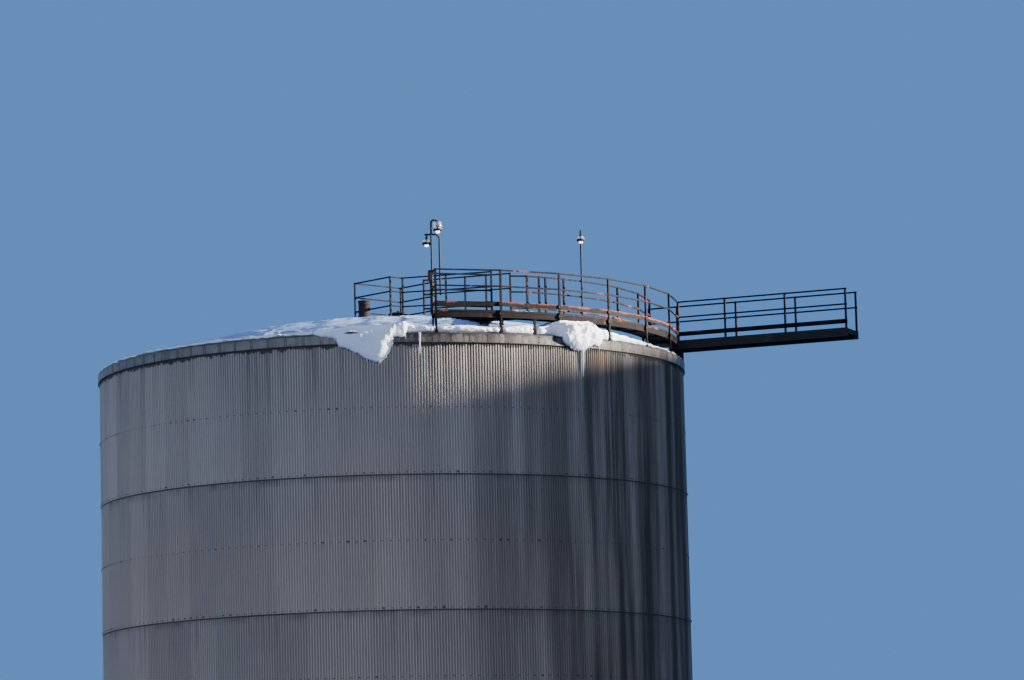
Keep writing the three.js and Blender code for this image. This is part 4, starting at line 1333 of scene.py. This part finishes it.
@dataclass
class SnowLayer(Assembly):
    """Snow on the roof: drifts, a lip over the band and two overhangs. Angles are from the viewer's side."""

    front: Span = (-32.0, 66.0)
    # Points along a section on the roof: from, to and how many
    stations: tuple[tuple[float, float, int], ...] = ((0.3, 1.2, 4), (1.31, 6.85, 52), (6.93, 8.02, 15))
    # Radii of the points along a section's underside, from the rim in
    underside: tuple[float, ...] = (8.04, 7.0, 5.0, 2.5, 0.0)
    front_step: float = 0.25
    plain_step: float = 0.55
    crown_depth: float = 0.190
    edge_depth: float = 0.070
    least_depth: float = 0.004
    ledge_pitch: float = 0.52
    ledge_share: float = 0.36
    seat: float = 0.002
    lip_radius: float = 8.20
    lip_low: float = 17.600
    wall_face: float = 8.353
    edge_steps: int = 16
    warp: float = 0.26
    flank_foot: Point = (-3.1, 16.80)
    flank_slant: float = 2.5
    flank_width: float = 1.9
    crown_clear: float = 0.055
    crown_slope: float = 0.5
    gangway_clear: float = 0.045
    gangway_slope: float = 0.9
    # Angles at which a post stands in the snow's edge, and how far the snow reaches out there
    posts: tuple[Point, ...] = (
        (8.5, 8.155), (21.2, 8.155), (28.4, 8.075), (33.9, 8.155), (46.6, 8.155), (59.3, 8.155),
        (72.0, 8.155),
    )
    depth_at_rim: tuple[Point, ...] = (
        (-180, 0.09), (-60, 0.09), (-24, 0.10), (-12, 0.13), (-8, 0.20), (0, 0.26), (3, 0.27), (6, 0.20),
        (22, 0.19), (30, 0.27), (33, 0.43), (39, 0.46), (43, 0.32), (50, 0.21), (57, 0.15), (62, 0.09),
        (75, 0.08), (180, 0.09),
    )
    left: Overhang = Overhang((
        (-15.0, 17.60), (-13.0, 17.54), (-11.0, 17.48), (-10.1, 17.42), (-9.8, 17.24), (-8.0, 17.17),
        (-6.8, 17.06), (-5.8, 17.02), (-5.0, 16.90), (-3.5, 16.80), (-2.5, 16.78), (-1.4, 16.84),
        (-0.5, 17.00), (0.2, 17.29), (0.5, 17.47), (2.3, 17.46), (3.2, 17.60),
    ), 5.5, (0.2, 2.6), 8.550, 15)
    right: Overhang = Overhang((
        (32.6, 17.60), (33.6, 17.50), (34.0, 17.38), (35.2, 17.28), (36.6, 17.20), (38.4, 17.20),
        (40.5, 17.37), (42.0, 17.35), (43.1, 17.45), (43.8, 17.60),
    ), 1.6, (39.8, 43.6), 8.720, 12)
    # Drifts on the walkway: first angle, last angle and greatest depth
    drifts: tuple[tuple[float, ...], ...] = (
        (16.0, 37.0, 0.085), (41.0, 50.0, 0.060), (54.0, 63.0, 0.050),
    )
    drift_rows: int = 13
    drift_columns: int = 90
    strip_points: int = 12
    strip_sides: int = 10
    # Strips of ice on the wall: angle, upper end, lower end and half width at the top
    strips: tuple[tuple[float, ...], ...] = ((5.2, 17.56, 17.02, 0.034), (38.3, 17.26, 16.52, 0.048))
    icicle_width: float = 0.014
    icicle_length: float = 0.17
    icicle_seed: int = 5

    def hang(self, angle: float) -> Point:
        """How far the snow's edge reaches out at an angle, and how low it hangs."""
        ripple = 0.020 * noise.fractal(Vector((angle * 0.45, 3.0, 0.0)), 0.8, 2.0, 3)
        reach = ROOF_RIM + 0.015 + 1.5 * ripple
        for tongue in (self.left, self.right):
            first, last = tongue.edge[0][0], tongue.edge[-1][0]
            if first <= angle <= last:
                start, end = tongue.thins
                part = smooth_step(min((angle - first) / tongue.swells, (last - angle) / 1.1))
                part *= 1.0 - 0.88 * smooth_step((angle - start) / (end - start))
                ragged = 0.030 * noise.fractal(Vector((angle * 1.9, 8.0, 0.0)), 0.7, 2.1, 3)
                low = along_outline(tongue.edge, angle) + ragged
                face = self.wall_face + 0.02
                full = reach + (face - reach) * smooth_step(min(angle - first, last - angle) / 0.9)
                return full + (tongue.reach - face) * part, low
        for post, behind in self.posts:
            reach = min(reach, behind + (reach - behind) * smooth_step((abs(angle - post) - 0.28) / 0.5))
        return reach, self.lip_low + 0.012 + ripple

    def ledges(self, radius: float, angle: float) -> float:
        """The height of the small steps that the wind has cut round the roof, at a place."""
        x, y = polar(radius, angle)
        wander = noise.fractal(Vector((x * 0.26, y * 0.26, 1.5)), 0.7, 2.2, 5)
        phase = (radius + 0.85 * wander) / self.ledge_pitch
        saw = phase - math.floor(phase)
        step = smooth_step(saw / 0.84) - smooth_step((saw - 0.84) / 0.16)
        patchy = smooth_step(0.42 + 1.5 * noise.noise(Vector((x * 0.35 + 9.0, y * 0.35, 6.0))))
        fall = self.ledge_share * self.ledge_pitch * radius / 28.0
        return fall * (step - 0.55) * patchy * smooth_step((8.1 - radius) / 0.6)

    def depth(self, radius: float, angle: float) -> float:
        """The snow's depth over the roof plate at a place."""
        share = radius / ROOF_RIM
        plain = self.edge_depth + (self.crown_depth - self.edge_depth) * (1 - share ** 2) ** 1.5
        rim = along_outline(self.depth_at_rim, angle)
        pile = smooth_step((radius - 7.25) / 0.75)
        thick = plain + (rim - self.edge_depth) * pile
        x, y = polar(radius, angle)
        lumps = noise.fractal(Vector((x * 1.3, y * 1.3, 4.0)), 0.9, 2.1, 4)
        calm = smooth_step((radius - 1.2) / 1.0)
        rough = 0.014 + 0.060 * max(0.0, min(1.0, (rim - 0.14) / 0.2)) * pile
        return thick + calm * (rough * lumps + self.ledges(radius, angle))

    def trodden(self, radius: float, angle: float, height: float) -> float:
        """The snow's height where it is kept clear of the crown platform and of the gangway.

        Args:
            radius: the place's distance from the axis.
            angle: its angle from the viewer's side in degrees.
            height: the snow's own height there.

        Returns:
            The height, lowered under and beside the decks.
        """
        x, y = polar(radius, angle + TO_VIEWER)
        turn = math.radians(CROWN_TURN)
        dx, dy = x - CROWN_CENTRE[0], y - CROWN_CENTRE[1]
        along = dx * math.cos(turn) + dy * math.sin(turn)
        across = abs(dy * math.cos(turn) - dx * math.sin(turn))
        outside = max(abs(along) - CROWN_ALONG / 2, across - CROWN_ACROSS / 2)
        height = min(height, CROWN_TOP - self.crown_clear + max(0.0, outside) * self.crown_slope)
        top = Vector(CROWN_CENTRE) + Vector((math.cos(turn), math.sin(turn))) * CROWN_ALONG / 2
        line = Vector(polar(*GANGWAY_FOOT)) - top
        offset = Vector((x, y)) - top
        share = offset.dot(line) / line.length_squared
        if 0.0 < share < 1.02:
            side = abs(offset.cross(line)) / line.length
            half = (GANGWAY_WIDE + (GANGWAY_NARROW - GANGWAY_WIDE) * share) / 2
            floor = CROWN_TOP - (CROWN_TOP - DECK_TOP) * share - self.gangway_clear
            height = min(height, floor + max(0.0, side - half) * self.gangway_slope)
        return height

    def column(self, angle: float) -> list[tuple[float, float, float]]:
        """One section through the snow, from the crown over the edge and back under it.

        Args:
            angle: the section's angle from the viewer's side in degrees.

        Returns:
            The section's points.
        """
        section = []
        inner, middle, rim = (np.linspace(*part) for part in self.stations)
        for radius in (0.0, *inner, *middle, *rim):
            plate = roof_height(radius)
            height = self.trodden(radius, angle, plate + self.depth(radius, angle))
            section.append((radius, max(height, plate + self.least_depth)))
        section += self._over_edge(angle, section[-1])
        section += [(radius, roof_height(radius) + self.seat) for radius in self.underside]
        return [(*polar(radius, angle + TO_VIEWER + self.strayed(radius, angle, height)), height)
                for radius, height in section]

    def _over_edge(self, angle: float, start: Point) -> list[Point]:
        """The part of a section that hangs over the roof's edge.

        Args:
            angle: the section's angle from the viewer's side in degrees.
            start: the last (radius, height) point on the roof.

        Returns:
            Points down the snow's face and back under it.
        """
        reach, low = self.hang(angle)
        hanging = reach > self.wall_face
        inner = self.wall_face if hanging else min(self.lip_radius, reach - 0.015)
        low = low if hanging else max(low, self.lip_low)
        top = start[1]
        controls = [start, (reach + 0.02, top + 0.01), (reach + 0.03, low + 0.3 * (top - low)), (inner, low)]
        points = []
        for step in range(1, self.edge_steps + 1):
            t = step / self.edge_steps
            weights = ((1 - t) ** 3, 3 * t * (1 - t) ** 2, 3 * t * t * (1 - t), t ** 3)
            radius, height = (sum(w * c[axis] for w, c in zip(weights, controls)) for axis in (0, 1))
            fade = math.sin(math.pi * t) if step < self.edge_steps else 0.0
            bump = self._bulge(radius, angle, height, hanging) * fade
            if hanging and angle < self.left.edge[-1][0]:
                proud = max(0.0, radius + bump - self.wall_face)
                corner = self.flank_foot[0] + (height - self.flank_foot[1]) * self.flank_slant
                kept = 1.0 - 0.86 * smooth_step((angle - corner) / self.flank_width)
                bump -= proud * (1.0 - kept)
            points.append((max(inner, radius + bump), height + max(-0.05, bump) * 0.7))
        under = max(low, self.lip_low)
        return [*points, (inner, under), (min(inner, self.lip_radius), under)]

    def _bulge(self, radius: float, angle: float, height: float, hanging: bool) -> float:
        """How far the snow's face stands out at a place, in lumps and billows.

        Args:
            radius: the place's distance from the axis.
            angle: its angle from the viewer's side in degrees.
            height: its height.
            hanging: whether it is on an overhang and not on the lip.

        Returns:
            The distance, which is negative where the face dips in.
        """
        x, y = polar(radius, angle)
        lump = noise.fractal(Vector((x * 3.0, y * 3.0, height * 3.0)), 0.7, 2.1, 5)
        cloud = 0.55 - 2.0 * abs(noise.fractal(Vector((x * 3.4, y * 3.4, height * 4.4)), 0.8, 2.1, 3))
        if not hanging:
            return 0.030 * lump + 0.034 * cloud
        billow = 0.12 + 0.88 * smooth_step((angle + 3.0 - (height - 16.8) * 2.0) / 1.2)
        return 0.040 * lump + 0.090 * cloud * billow

    def strayed(self, radius: float, angle: float, height: float) -> float:
        """How many degrees a point near the edge strays sideways, so that no cut runs straight."""
        x, y = polar(radius, angle)
        share = smooth_step((radius - 7.0) / 0.8)
        return self.warp * share * noise.noise(Vector((x * 3.3, y * 3.3, height * 3.3 + 20.0)))

    def build(self) -> None:
        """Makes the snow on the roof and on the walkway, and the ice under its edge."""
        first, last = self.front
        angles = [*np.arange(-180.0, first, self.plain_step), *np.arange(first, last, self.front_step),
                  *np.arange(last, 180.0 - self.plain_step / 2, self.plain_step)]
        sections = [self.column(float(angle)) for angle in angles]
        vertices = [point for section in sections for point in section]
        mesh = mesh_of(vertices, grid_faces(len(angles), len(sections[0]), True))
        names = ["snow_cover", "snow_overhang_left", "snow_overhang_right"]
        piece("roof_snow", mesh, self.finishes.snow, names, smooth=True)
        drifts = [self._on_deck(*span) for span in self.drifts]
        piece("walkway_snow", joined(drifts), self.finishes.snow, smooth=True)
        self._ice()

    def _on_deck(self, first: float, last: float, deepest: float) -> Mesh:
        """A low drift lying on the walkway between two angles.

        Args:
            first: its first angle from the viewer's side.
            last: its last angle.
            deepest: its greatest depth.

        Returns:
            The drift's mesh.
        """
        rows, columns = self.drift_rows, self.drift_columns
        inner, outer = RING_INNER + 0.04, RING_OUTER - 0.03
        vertices = []
        for column in range(columns):
            along = column / (columns - 1)
            angle = first + (last - first) * along
            section = []
            for row in range(rows):
                across = row / (rows - 1)
                radius = inner + (outer - inner) * across
                x, y = polar(radius, angle)
                lumps = 0.75 + 0.9 * noise.fractal(Vector((x * 2.2, y * 2.2, 11.0)), 0.8, 2.1, 4)
                fade = math.sin(math.pi * across) ** 0.6 * math.sin(math.pi * along) ** 0.5
                section.append((radius, DECK_TOP + 0.009 + max(0.0, deepest * lumps * fade)))
            section += [(outer, DECK_TOP + 0.001), (inner, DECK_TOP + 0.001)]
            vertices += [(*polar(radius, angle + TO_VIEWER), height) for radius, height in section]
        count = rows + 2
        faces = grid_faces(columns, count, False)
        faces += [tuple(range(count)), tuple(reversed(range((columns - 1) * count, columns * count)))]
        return mesh_of(vertices, faces)

    def _ice(self) -> None:
        """Hangs icicles along the overhangs and strips of ice down the wall."""
        roots = []
        for tongue in (self.left, self.right):
            edge = tongue.edge
            for angle in np.linspace(edge[0][0] + 1.0, edge[-1][0] - 0.6, tongue.icicles):
                spot = polar(self.wall_face + 0.03, angle + TO_VIEWER)
                roots.append((*spot, along_outline(edge, angle) + 0.03))
        points = bpy.data.meshes.new("icicle roots")
        points.from_pydata(roots, [], [])
        spikes = self.trees.icicles.grow(self.finishes.ice, points, width=self.icicle_width,
                                         length=self.icicle_length, seed=self.icicle_seed)
        strips = [self._strip(*strip) for strip in self.strips]
        piece("icicles", joined([spikes, *strips]), self.finishes.ice, smooth=True)

    def _strip(self, angle: float, high: float, low: float, half: float) -> Mesh:
        """A frozen run of water, wide at the top and narrow at the foot.

        Args:
            angle: its angle from the viewer's side in degrees.
            high: its upper end.
            low: its lower end.
            half: half its width at the top.

        Returns:
            The strip's mesh.
        """
        profile = []
        for step in range(self.strip_points):
            share = step / (self.strip_points - 1)
            wobble = 1 + 0.35 * noise.noise(Vector((share * 7, angle, 0.0)))
            profile.append((half * (1 - 0.75 * share) * wobble, high + (low - high) * share))
        profile = [(0.0, high + 0.01), *profile, (0.0, low - 0.03)]
        return turned(profile, self.strip_sides, polar(self.wall_face + 0.004, angle + TO_VIEWER))


# Walkway, bridge and crown platform
@dataclass
class Walkways(Assembly):
    """The walkway's steel with its grating bars, the bridge and the crown platform."""

    pitch: float = 0.041
    cross_pitch: float = 0.100
    bar: float = 0.006
    proud: float = 0.008
    rod_sunk: float = 0.001
    edge_step: float = 0.75
    edge_thick: float = 0.010
    edge_height: float = 0.060
    edge_out: float = 0.003
    edge_up: float = 0.006
    ring_rods: int = 7
    bridge_start: float = 7.90
    bridge_rods: int = 8
    crown_rods: int = 15
    cleat: Size = (0.030, 0.580, 0.022)
    cleat_pitch: float = 0.30

    def build(self) -> None:
        """Dresses the decks and lays the grating bars on them."""
        steel, girder, grating = self.finishes.steel, self.finishes.girder, self.finishes.grating
        dress([f"ring_deck_{k}" for k in (1, 2, 3)], steel)
        dress(["bridge_girder_near", "bridge_girder_far", "bridge_deck"], girder)
        dress(["bridge_seat_near", "bridge_seat_far", "crown_deck", "gangway_deck"], steel)
        piece("walkway_grating", joined(self._ring()), grating)
        piece("deck_edge_angle", self._edge(), self.finishes.red_rail)
        piece("bridge_grating", joined(self._bridge()), grating)
        piece("crown_grating", joined(self._crown()), grating)

    def _edge(self) -> Mesh:
        """The worn angle along the outer edge of the round walkway, where the kerb's paint is left."""
        step = math.radians(self.edge_step)
        count = int((RING_END - RING_START) / self.edge_step)
        return self.trees.ring.grow(
            self.finishes.red_rail, count=count, radius=RING_OUTER + self.edge_out,
            height=DECK_TOP + self.edge_up, start=math.radians(RING_START) + step / 2, step=step,
            size=(self.edge_thick, RING_OUTER * step * 1.003, self.edge_height))

    def _row(self, count: int, first: Sequence[float], step: Sequence[float], size: Size,
             turn: Sequence[float] = (0, 0, 0)) -> Mesh:
        """A straight row of grating bars.

        Args:
            count: how many there are.
            first: the middle of the first.
            step: the way from one to the next.
            size: the size of each.
            turn: how each is turned, in radians about each axis.

        Returns:
            The row's mesh.
        """
        return self.trees.row.grow(self.finishes.grating, count=count, first=tuple(first), step=tuple(step),
                                   size=size, turn=turn)

    def _ring(self) -> list[Mesh]:
        """Bars across the round walkway and rods along it."""
        middle = (RING_INNER + RING_OUTER) / 2
        step = self.pitch / middle
        first = math.radians(RING_START) + step / 2
        count = int(math.radians(RING_END - RING_START) / step)
        height = DECK_TOP + self.proud / 2
        length = RING_OUTER - RING_INNER - 0.02
        rows = [self.trees.ring.grow(
            self.finishes.grating, count=count, radius=middle, height=height, start=first, step=step,
            size=(length, self.bar, self.proud))]
        arc = 3 * step
        for k in range(self.ring_rods):
            radius = RING_INNER + 0.06 + k * self.cross_pitch
            size = (self.bar, radius * arc * 0.999, self.proud - 2 * self.rod_sunk)
            rows.append(self.trees.ring.grow(
                self.finishes.grating, count=count // 3, radius=radius, height=height - self.rod_sunk,
                start=first + step, step=arc, size=size))
        return rows

    def _bridge(self) -> list[Mesh]:
        """Bars across the bridge and rods along it."""
        height = DECK_TOP + self.proud / 2
        middle = (BRIDGE_FAR + BRIDGE_NEAR) / 2
        length = BRIDGE_END - self.bridge_start
        bars = self._row(int(length / self.pitch), (self.bridge_start, middle, height), (self.pitch, 0, 0),
                         (self.bar, BRIDGE_FAR - BRIDGE_NEAR - 0.08, self.proud))
        rods = self._row(self.bridge_rods,
                         (self.bridge_start + length / 2, BRIDGE_NEAR + 0.09, height - self.rod_sunk),
                         (0, self.cross_pitch, 0), (length, self.bar, self.proud - 2 * self.rod_sunk))
        return [bars, rods]

    def _crown(self) -> list[Mesh]:
        """Bars across the crown platform and cleats across the gangway."""
        turn = math.radians(CROWN_TURN)
        along = Vector((math.cos(turn), math.sin(turn), 0.0))
        across = Vector((-math.sin(turn), math.cos(turn), 0.0))
        centre = Vector((*CROWN_CENTRE, CROWN_TOP + self.proud / 2))
        count = int((CROWN_ALONG - 0.06) / self.pitch)
        bars = self._row(count, centre - along * (count - 1) * self.pitch / 2, along * self.pitch,
                         (self.bar, CROWN_ACROSS - 0.12, self.proud), (0, 0, turn))
        half = (self.crown_rods - 1) * self.cross_pitch / 2
        rods = self._row(self.crown_rods, centre - across * half, across * self.cross_pitch,
                         (CROWN_ALONG - 0.12, self.bar, self.proud - 2 * self.rod_sunk), (0, 0, turn))
        edge = centre + along * (CROWN_ALONG / 2 + 0.12)
        line = Vector((*polar(*GANGWAY_FOOT), DECK_TOP + self.proud / 2)) - edge
        steps = int(line.length / self.cleat_pitch)
        fall = math.atan2(-line.z, line.xy.length)
        cleats = self._row(steps, edge, line / steps, self.cleat, (0, fall, math.atan2(line.y, line.x)))
        return [bars, rods, cleats]


@dataclass
class Railings(Assembly):
    """The guard rails in worn paint, with the plates and bolts of the round walkway's outer posts."""

    foot_plate: Size = (0.11, 0.15, 0.024)
    foot_block: Size = (0.075, 0.085, 0.090)
    plate_out: float = 0.010
    block_out: float = 0.004
    block_up: float = 0.055
    face: float = POST_RADIUS + 0.027
    face_plate: Size = (0.008, 0.11, 0.09)
    bolt: Size = (0.012, 0.022, 0.022)
    bolt_aside: float = 0.04
    bolt_heights: tuple[float, float] = (DECK_TOP - 0.06, DECK_TOP + 0.20)

    def build(self) -> None:
        """Dresses the rails and sets the plates and bolts of their posts."""
        dress(["outer_rail_1", "inner_rail_1"], self.finishes.rail)
        dress(["outer_rail_2", "outer_rail_3", "inner_rail_2"], self.finishes.red_rail)
        dress(["crown_rail_1", "crown_rail_2", "crown_rail_3", "bridge_rail_near", "bridge_rail_far",
               "inner_rail_end", "gangway_rail_left", "gangway_rail_right"], self.finishes.dark_rail)
        angles = [RING_START + POST_PITCH * k for k in range(POST_COUNT)]
        plates, bolts = [], []
        for angle in angles:
            foot = (*polar(POST_RADIUS + self.plate_out, angle), BAND_HIGH + self.foot_plate[2] / 2)
            plates.append(block(self.foot_plate, foot, angle, 0.004))
            over = (*polar(POST_RADIUS + self.block_out, angle), BAND_HIGH + self.block_up)
            plates.append(block(self.foot_block, over, angle, 0.014))
        for height in self.bolt_heights:
            for angle in angles:
                plates.append(block(self.face_plate, (*polar(self.face, angle), height), angle, 0.002))
                for side in (-self.bolt_aside, self.bolt_aside):
                    spot = polar(self.face + 0.006, angle + math.degrees(side / self.face))
                    bolts.append(block(self.bolt, (*spot, height), angle, 0.003))
        piece("rail_post_cleats", joined(plates), self.finishes.dark_rail)
        piece("rail_post_bolts", joined(bolts), self.finishes.screw)


# Lamps and roof fittings
@dataclass
class Lamp(Assembly):
    """One lamp: a bent pole with its head, placed from its CAD nodes."""

    name: str
    turn: float
    head: Head
    tee: bool
    pole: float = 0.025
    bend: float = 0.075
    wide_bend: float = 0.130
    bend_steps: int = 8
    past_head: float = 0.050
    into_head: float = 0.01
    steps: int = 28

    def build(self) -> None:
        """Makes the pole, the cap, the bulb and the glass."""
        low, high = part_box(f"lamp_pole_{self.name}")
        head_low, head_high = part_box(f"lamp_head_{self.name}")
        tip = ((head_low + head_high) / 2).xy
        out = Vector(polar(1.0, self.turn))
        foot = Vector([low[k] + self.pole if out[k] > 0 else high[k] - self.pole for k in (0, 1)])
        fitting = self.finishes.fitting
        top, end = high.z - self.pole, head_high.z - self.into_head
        pipes = []
        for line in self._lines((tip - foot).dot(out), low.z, top, end):
            path = [(foot.x + out.x * across, foot.y + out.y * across, z) for across, z in line]
            pipes.append(mended(self.trees.pipe.grow(fitting, path_mesh(path), radius=self.pole)))
        piece(f"{self.name}_lamp_pole", joined(pipes), fitting,
              [f"lamp_pole_{self.name}"], smooth=True)
        cap, bulb, glass = (turned(lifted(part, head_high.z), self.steps, tip) for part in self.head.value)
        piece(f"{self.name}_lamp_cap", cap, fitting, [f"lamp_head_{self.name}"], smooth=True)
        piece(f"{self.name}_lamp_bulb", bulb, self.finishes.bulb, smooth=True)
        piece(f"{self.name}_lamp_glass", glass, self.finishes.glass, smooth=True)

    def _lines(self, reach: float, low: float, top: float, end: float) -> list[list[Point]]:
        """The centre lines of the pole's pipes, in the upright plane that holds them.

        Args:
            reach: how far out the head hangs.
            low: the height of the pole's foot.
            top: the height of its level arm.
            end: the height at which the pipe enters the head.

        Returns:
            One line of (distance out, height) points, or two where the arm runs past the head.
        """
        bend = self.wide_bend if self.tee else self.bend
        bends = [(bend, math.pi)] if self.tee else [(bend, math.pi), (reach - bend, math.pi / 2)]
        points = [(0.0, low)]
        for centre, swing in bends:
            for k in range(self.bend_steps + 1):
                turn = swing - math.pi / 2 * k / self.bend_steps
                points.append((centre + bend * math.cos(turn), top - bend + bend * math.sin(turn)))
        if self.tee:
            return [[*points, (reach + self.past_head, top)], [(reach, top), (reach, end)]]
        return [[*points, (reach, end)]]


@dataclass
class RoofFittings(Assembly):
    """Vent stub, hatch, junction box and roof plate. Half sections are given from the top of each down."""

    steps: int = 40
    vent: tuple[Point, ...] = (
        (0.0, -0.10), (0.150, -0.10), (0.152, -0.004), (0.161, 0.0), (0.178, -0.002), (0.184, -0.010),
        (0.184, -0.042), (0.169, -0.048), (0.167, -0.085), (0.173, -0.092), (0.173, -0.104), (0.166, -0.110),
        (0.165, -0.38), (0.175, -0.42), (0.184, -0.48), (0.180, -0.55), (0.166, -0.60),
    )
    vent_foot: float = 0.164
    curb: tuple[Point, ...] = ((0.248, -0.150), (0.285, -0.146), (0.285, -0.128), (0.0, -0.128))
    lid: tuple[Point, ...] = (
        (0.0, -0.124), (0.278, -0.124), (0.288, -0.116), (0.286, -0.098), (0.235, -0.078), (0.160, -0.056),
        (0.075, -0.046), (0.0, -0.044),
    )
    knob: tuple[Point, ...] = (
        (0.0, -0.050), (0.022, -0.050), (0.020, -0.030), (0.042, -0.022), (0.043, -0.008), (0.030, 0.0),
        (0.0, 0.0),
    )
    lid_bolt: Size = (0.030, 0.030, 0.036)
    lid_bolts: int = 8
    lid_bolt_radius: float = 0.262
    box_body: Size = (0.196, 0.086, 0.286)
    box_door: Size = (0.176, 0.012, 0.262)
    box_hinge: Size = (0.014, 0.014, 0.040)
    box_latch: Size = (0.016, 0.010, 0.030)

    def build(self) -> None:
        """Makes the fittings."""
        dress(["roof_dome"], self.finishes.roof)
        self._vent()
        self._hatch()
        self._box()

    def _vent(self) -> None:
        """The open vent stub with its collar and rounded foot."""
        low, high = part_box("vent_stub")
        profile = [*lifted(self.vent, high.z), (self.vent_foot, low.z), (0.0, low.z)]
        mesh = turned(profile, self.steps, middle_of("vent_stub"))
        piece("vent_pipe", mesh, self.finishes.rusty, ["vent_stub"], smooth=True)

    def _hatch(self) -> None:
        """The hatch's curb with its bolted, slightly lifted lid."""
        low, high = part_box("roof_hatch")
        centre = middle_of("roof_hatch")
        curb = [(0.0, low.z), (self.curb[0][0], low.z), *lifted(self.curb, high.z)]
        parts = [turned(curb, self.steps, centre), turned(lifted(self.lid, high.z), self.steps, centre),
                 turned(lifted(self.knob, high.z), self.steps // 2, centre)]
        for k in range(self.lid_bolts):
            angle = 360 / self.lid_bolts * (k + 0.5)
            x, y = polar(self.lid_bolt_radius, angle)
            parts.append(block(self.lid_bolt, (centre[0] + x, centre[1] + y, high.z - 0.100), angle, 0.005))
        piece("hatch_cover", joined(parts), self.finishes.fitting, ["roof_hatch"])

    def _box(self) -> None:
        """The junction box with its door, two hinges and a latch."""
        low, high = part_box("junction_box")
        middle = (low + high) / 2
        across, beside = direction(RING_START - 90), direction(RING_START)
        # Each block's size, its place across, beside and over the box's middle, and its rounding
        blocks = (
            (self.box_body, -0.005, 0.0, 0.0, 0.006), (self.box_door, 0.042, 0.0, 0.0, 0.004),
            (self.box_hinge, 0.044, 0.088, -0.09, 0.003), (self.box_hinge, 0.044, 0.088, 0.09, 0.003),
            (self.box_latch, 0.046, -0.070, 0.0, 0.002),
        )
        parts = []
        for size, out, aside, up, round_by in blocks:
            centre = middle + across * out + beside * aside + Vector((0, 0, up))
            parts.append(block(size, centre, RING_START, round_by))
        piece("junction_case", joined(parts), self.finishes.fitting, ["junction_box"])


@dataclass
class Base(Assembly):
    """The concrete base and the floor plate inside the tank."""

    def build(self) -> None:
        """Dresses the base and the floor."""
        dress(["base_pad"], self.finishes.concrete)
        dress(["tank_floor"], self.finishes.lining)


def main() -> None:
    """Builds the studio, then the tank from the ground up."""
    logging.basicConfig(level=logging.INFO, format="%(name)s: %(message)s")
    studio = Studio()
    studio.set_camera()
    studio.set_floor()
    studio.set_lights()
    finishes, trees = Finishes(), Trees()
    for assembly in (Base, Cladding, EaveBand, RoofFittings, Walkways, Railings, SnowLayer):
        LOG.info("building: %s", assembly.__name__)
        assembly(finishes, trees).build()
    to_right = TO_VIEWER + 90
    Lamp(finishes, trees, "end", to_right, Head.GLOBE, tee=False).build()
    Lamp(finishes, trees, "rail", to_right + 180, Head.BELL, tee=True).build()
    Lamp(finishes, trees, "walk", TO_VIEWER, Head.BELL, tee=False).build()


if __name__ == "__main__":
    main()
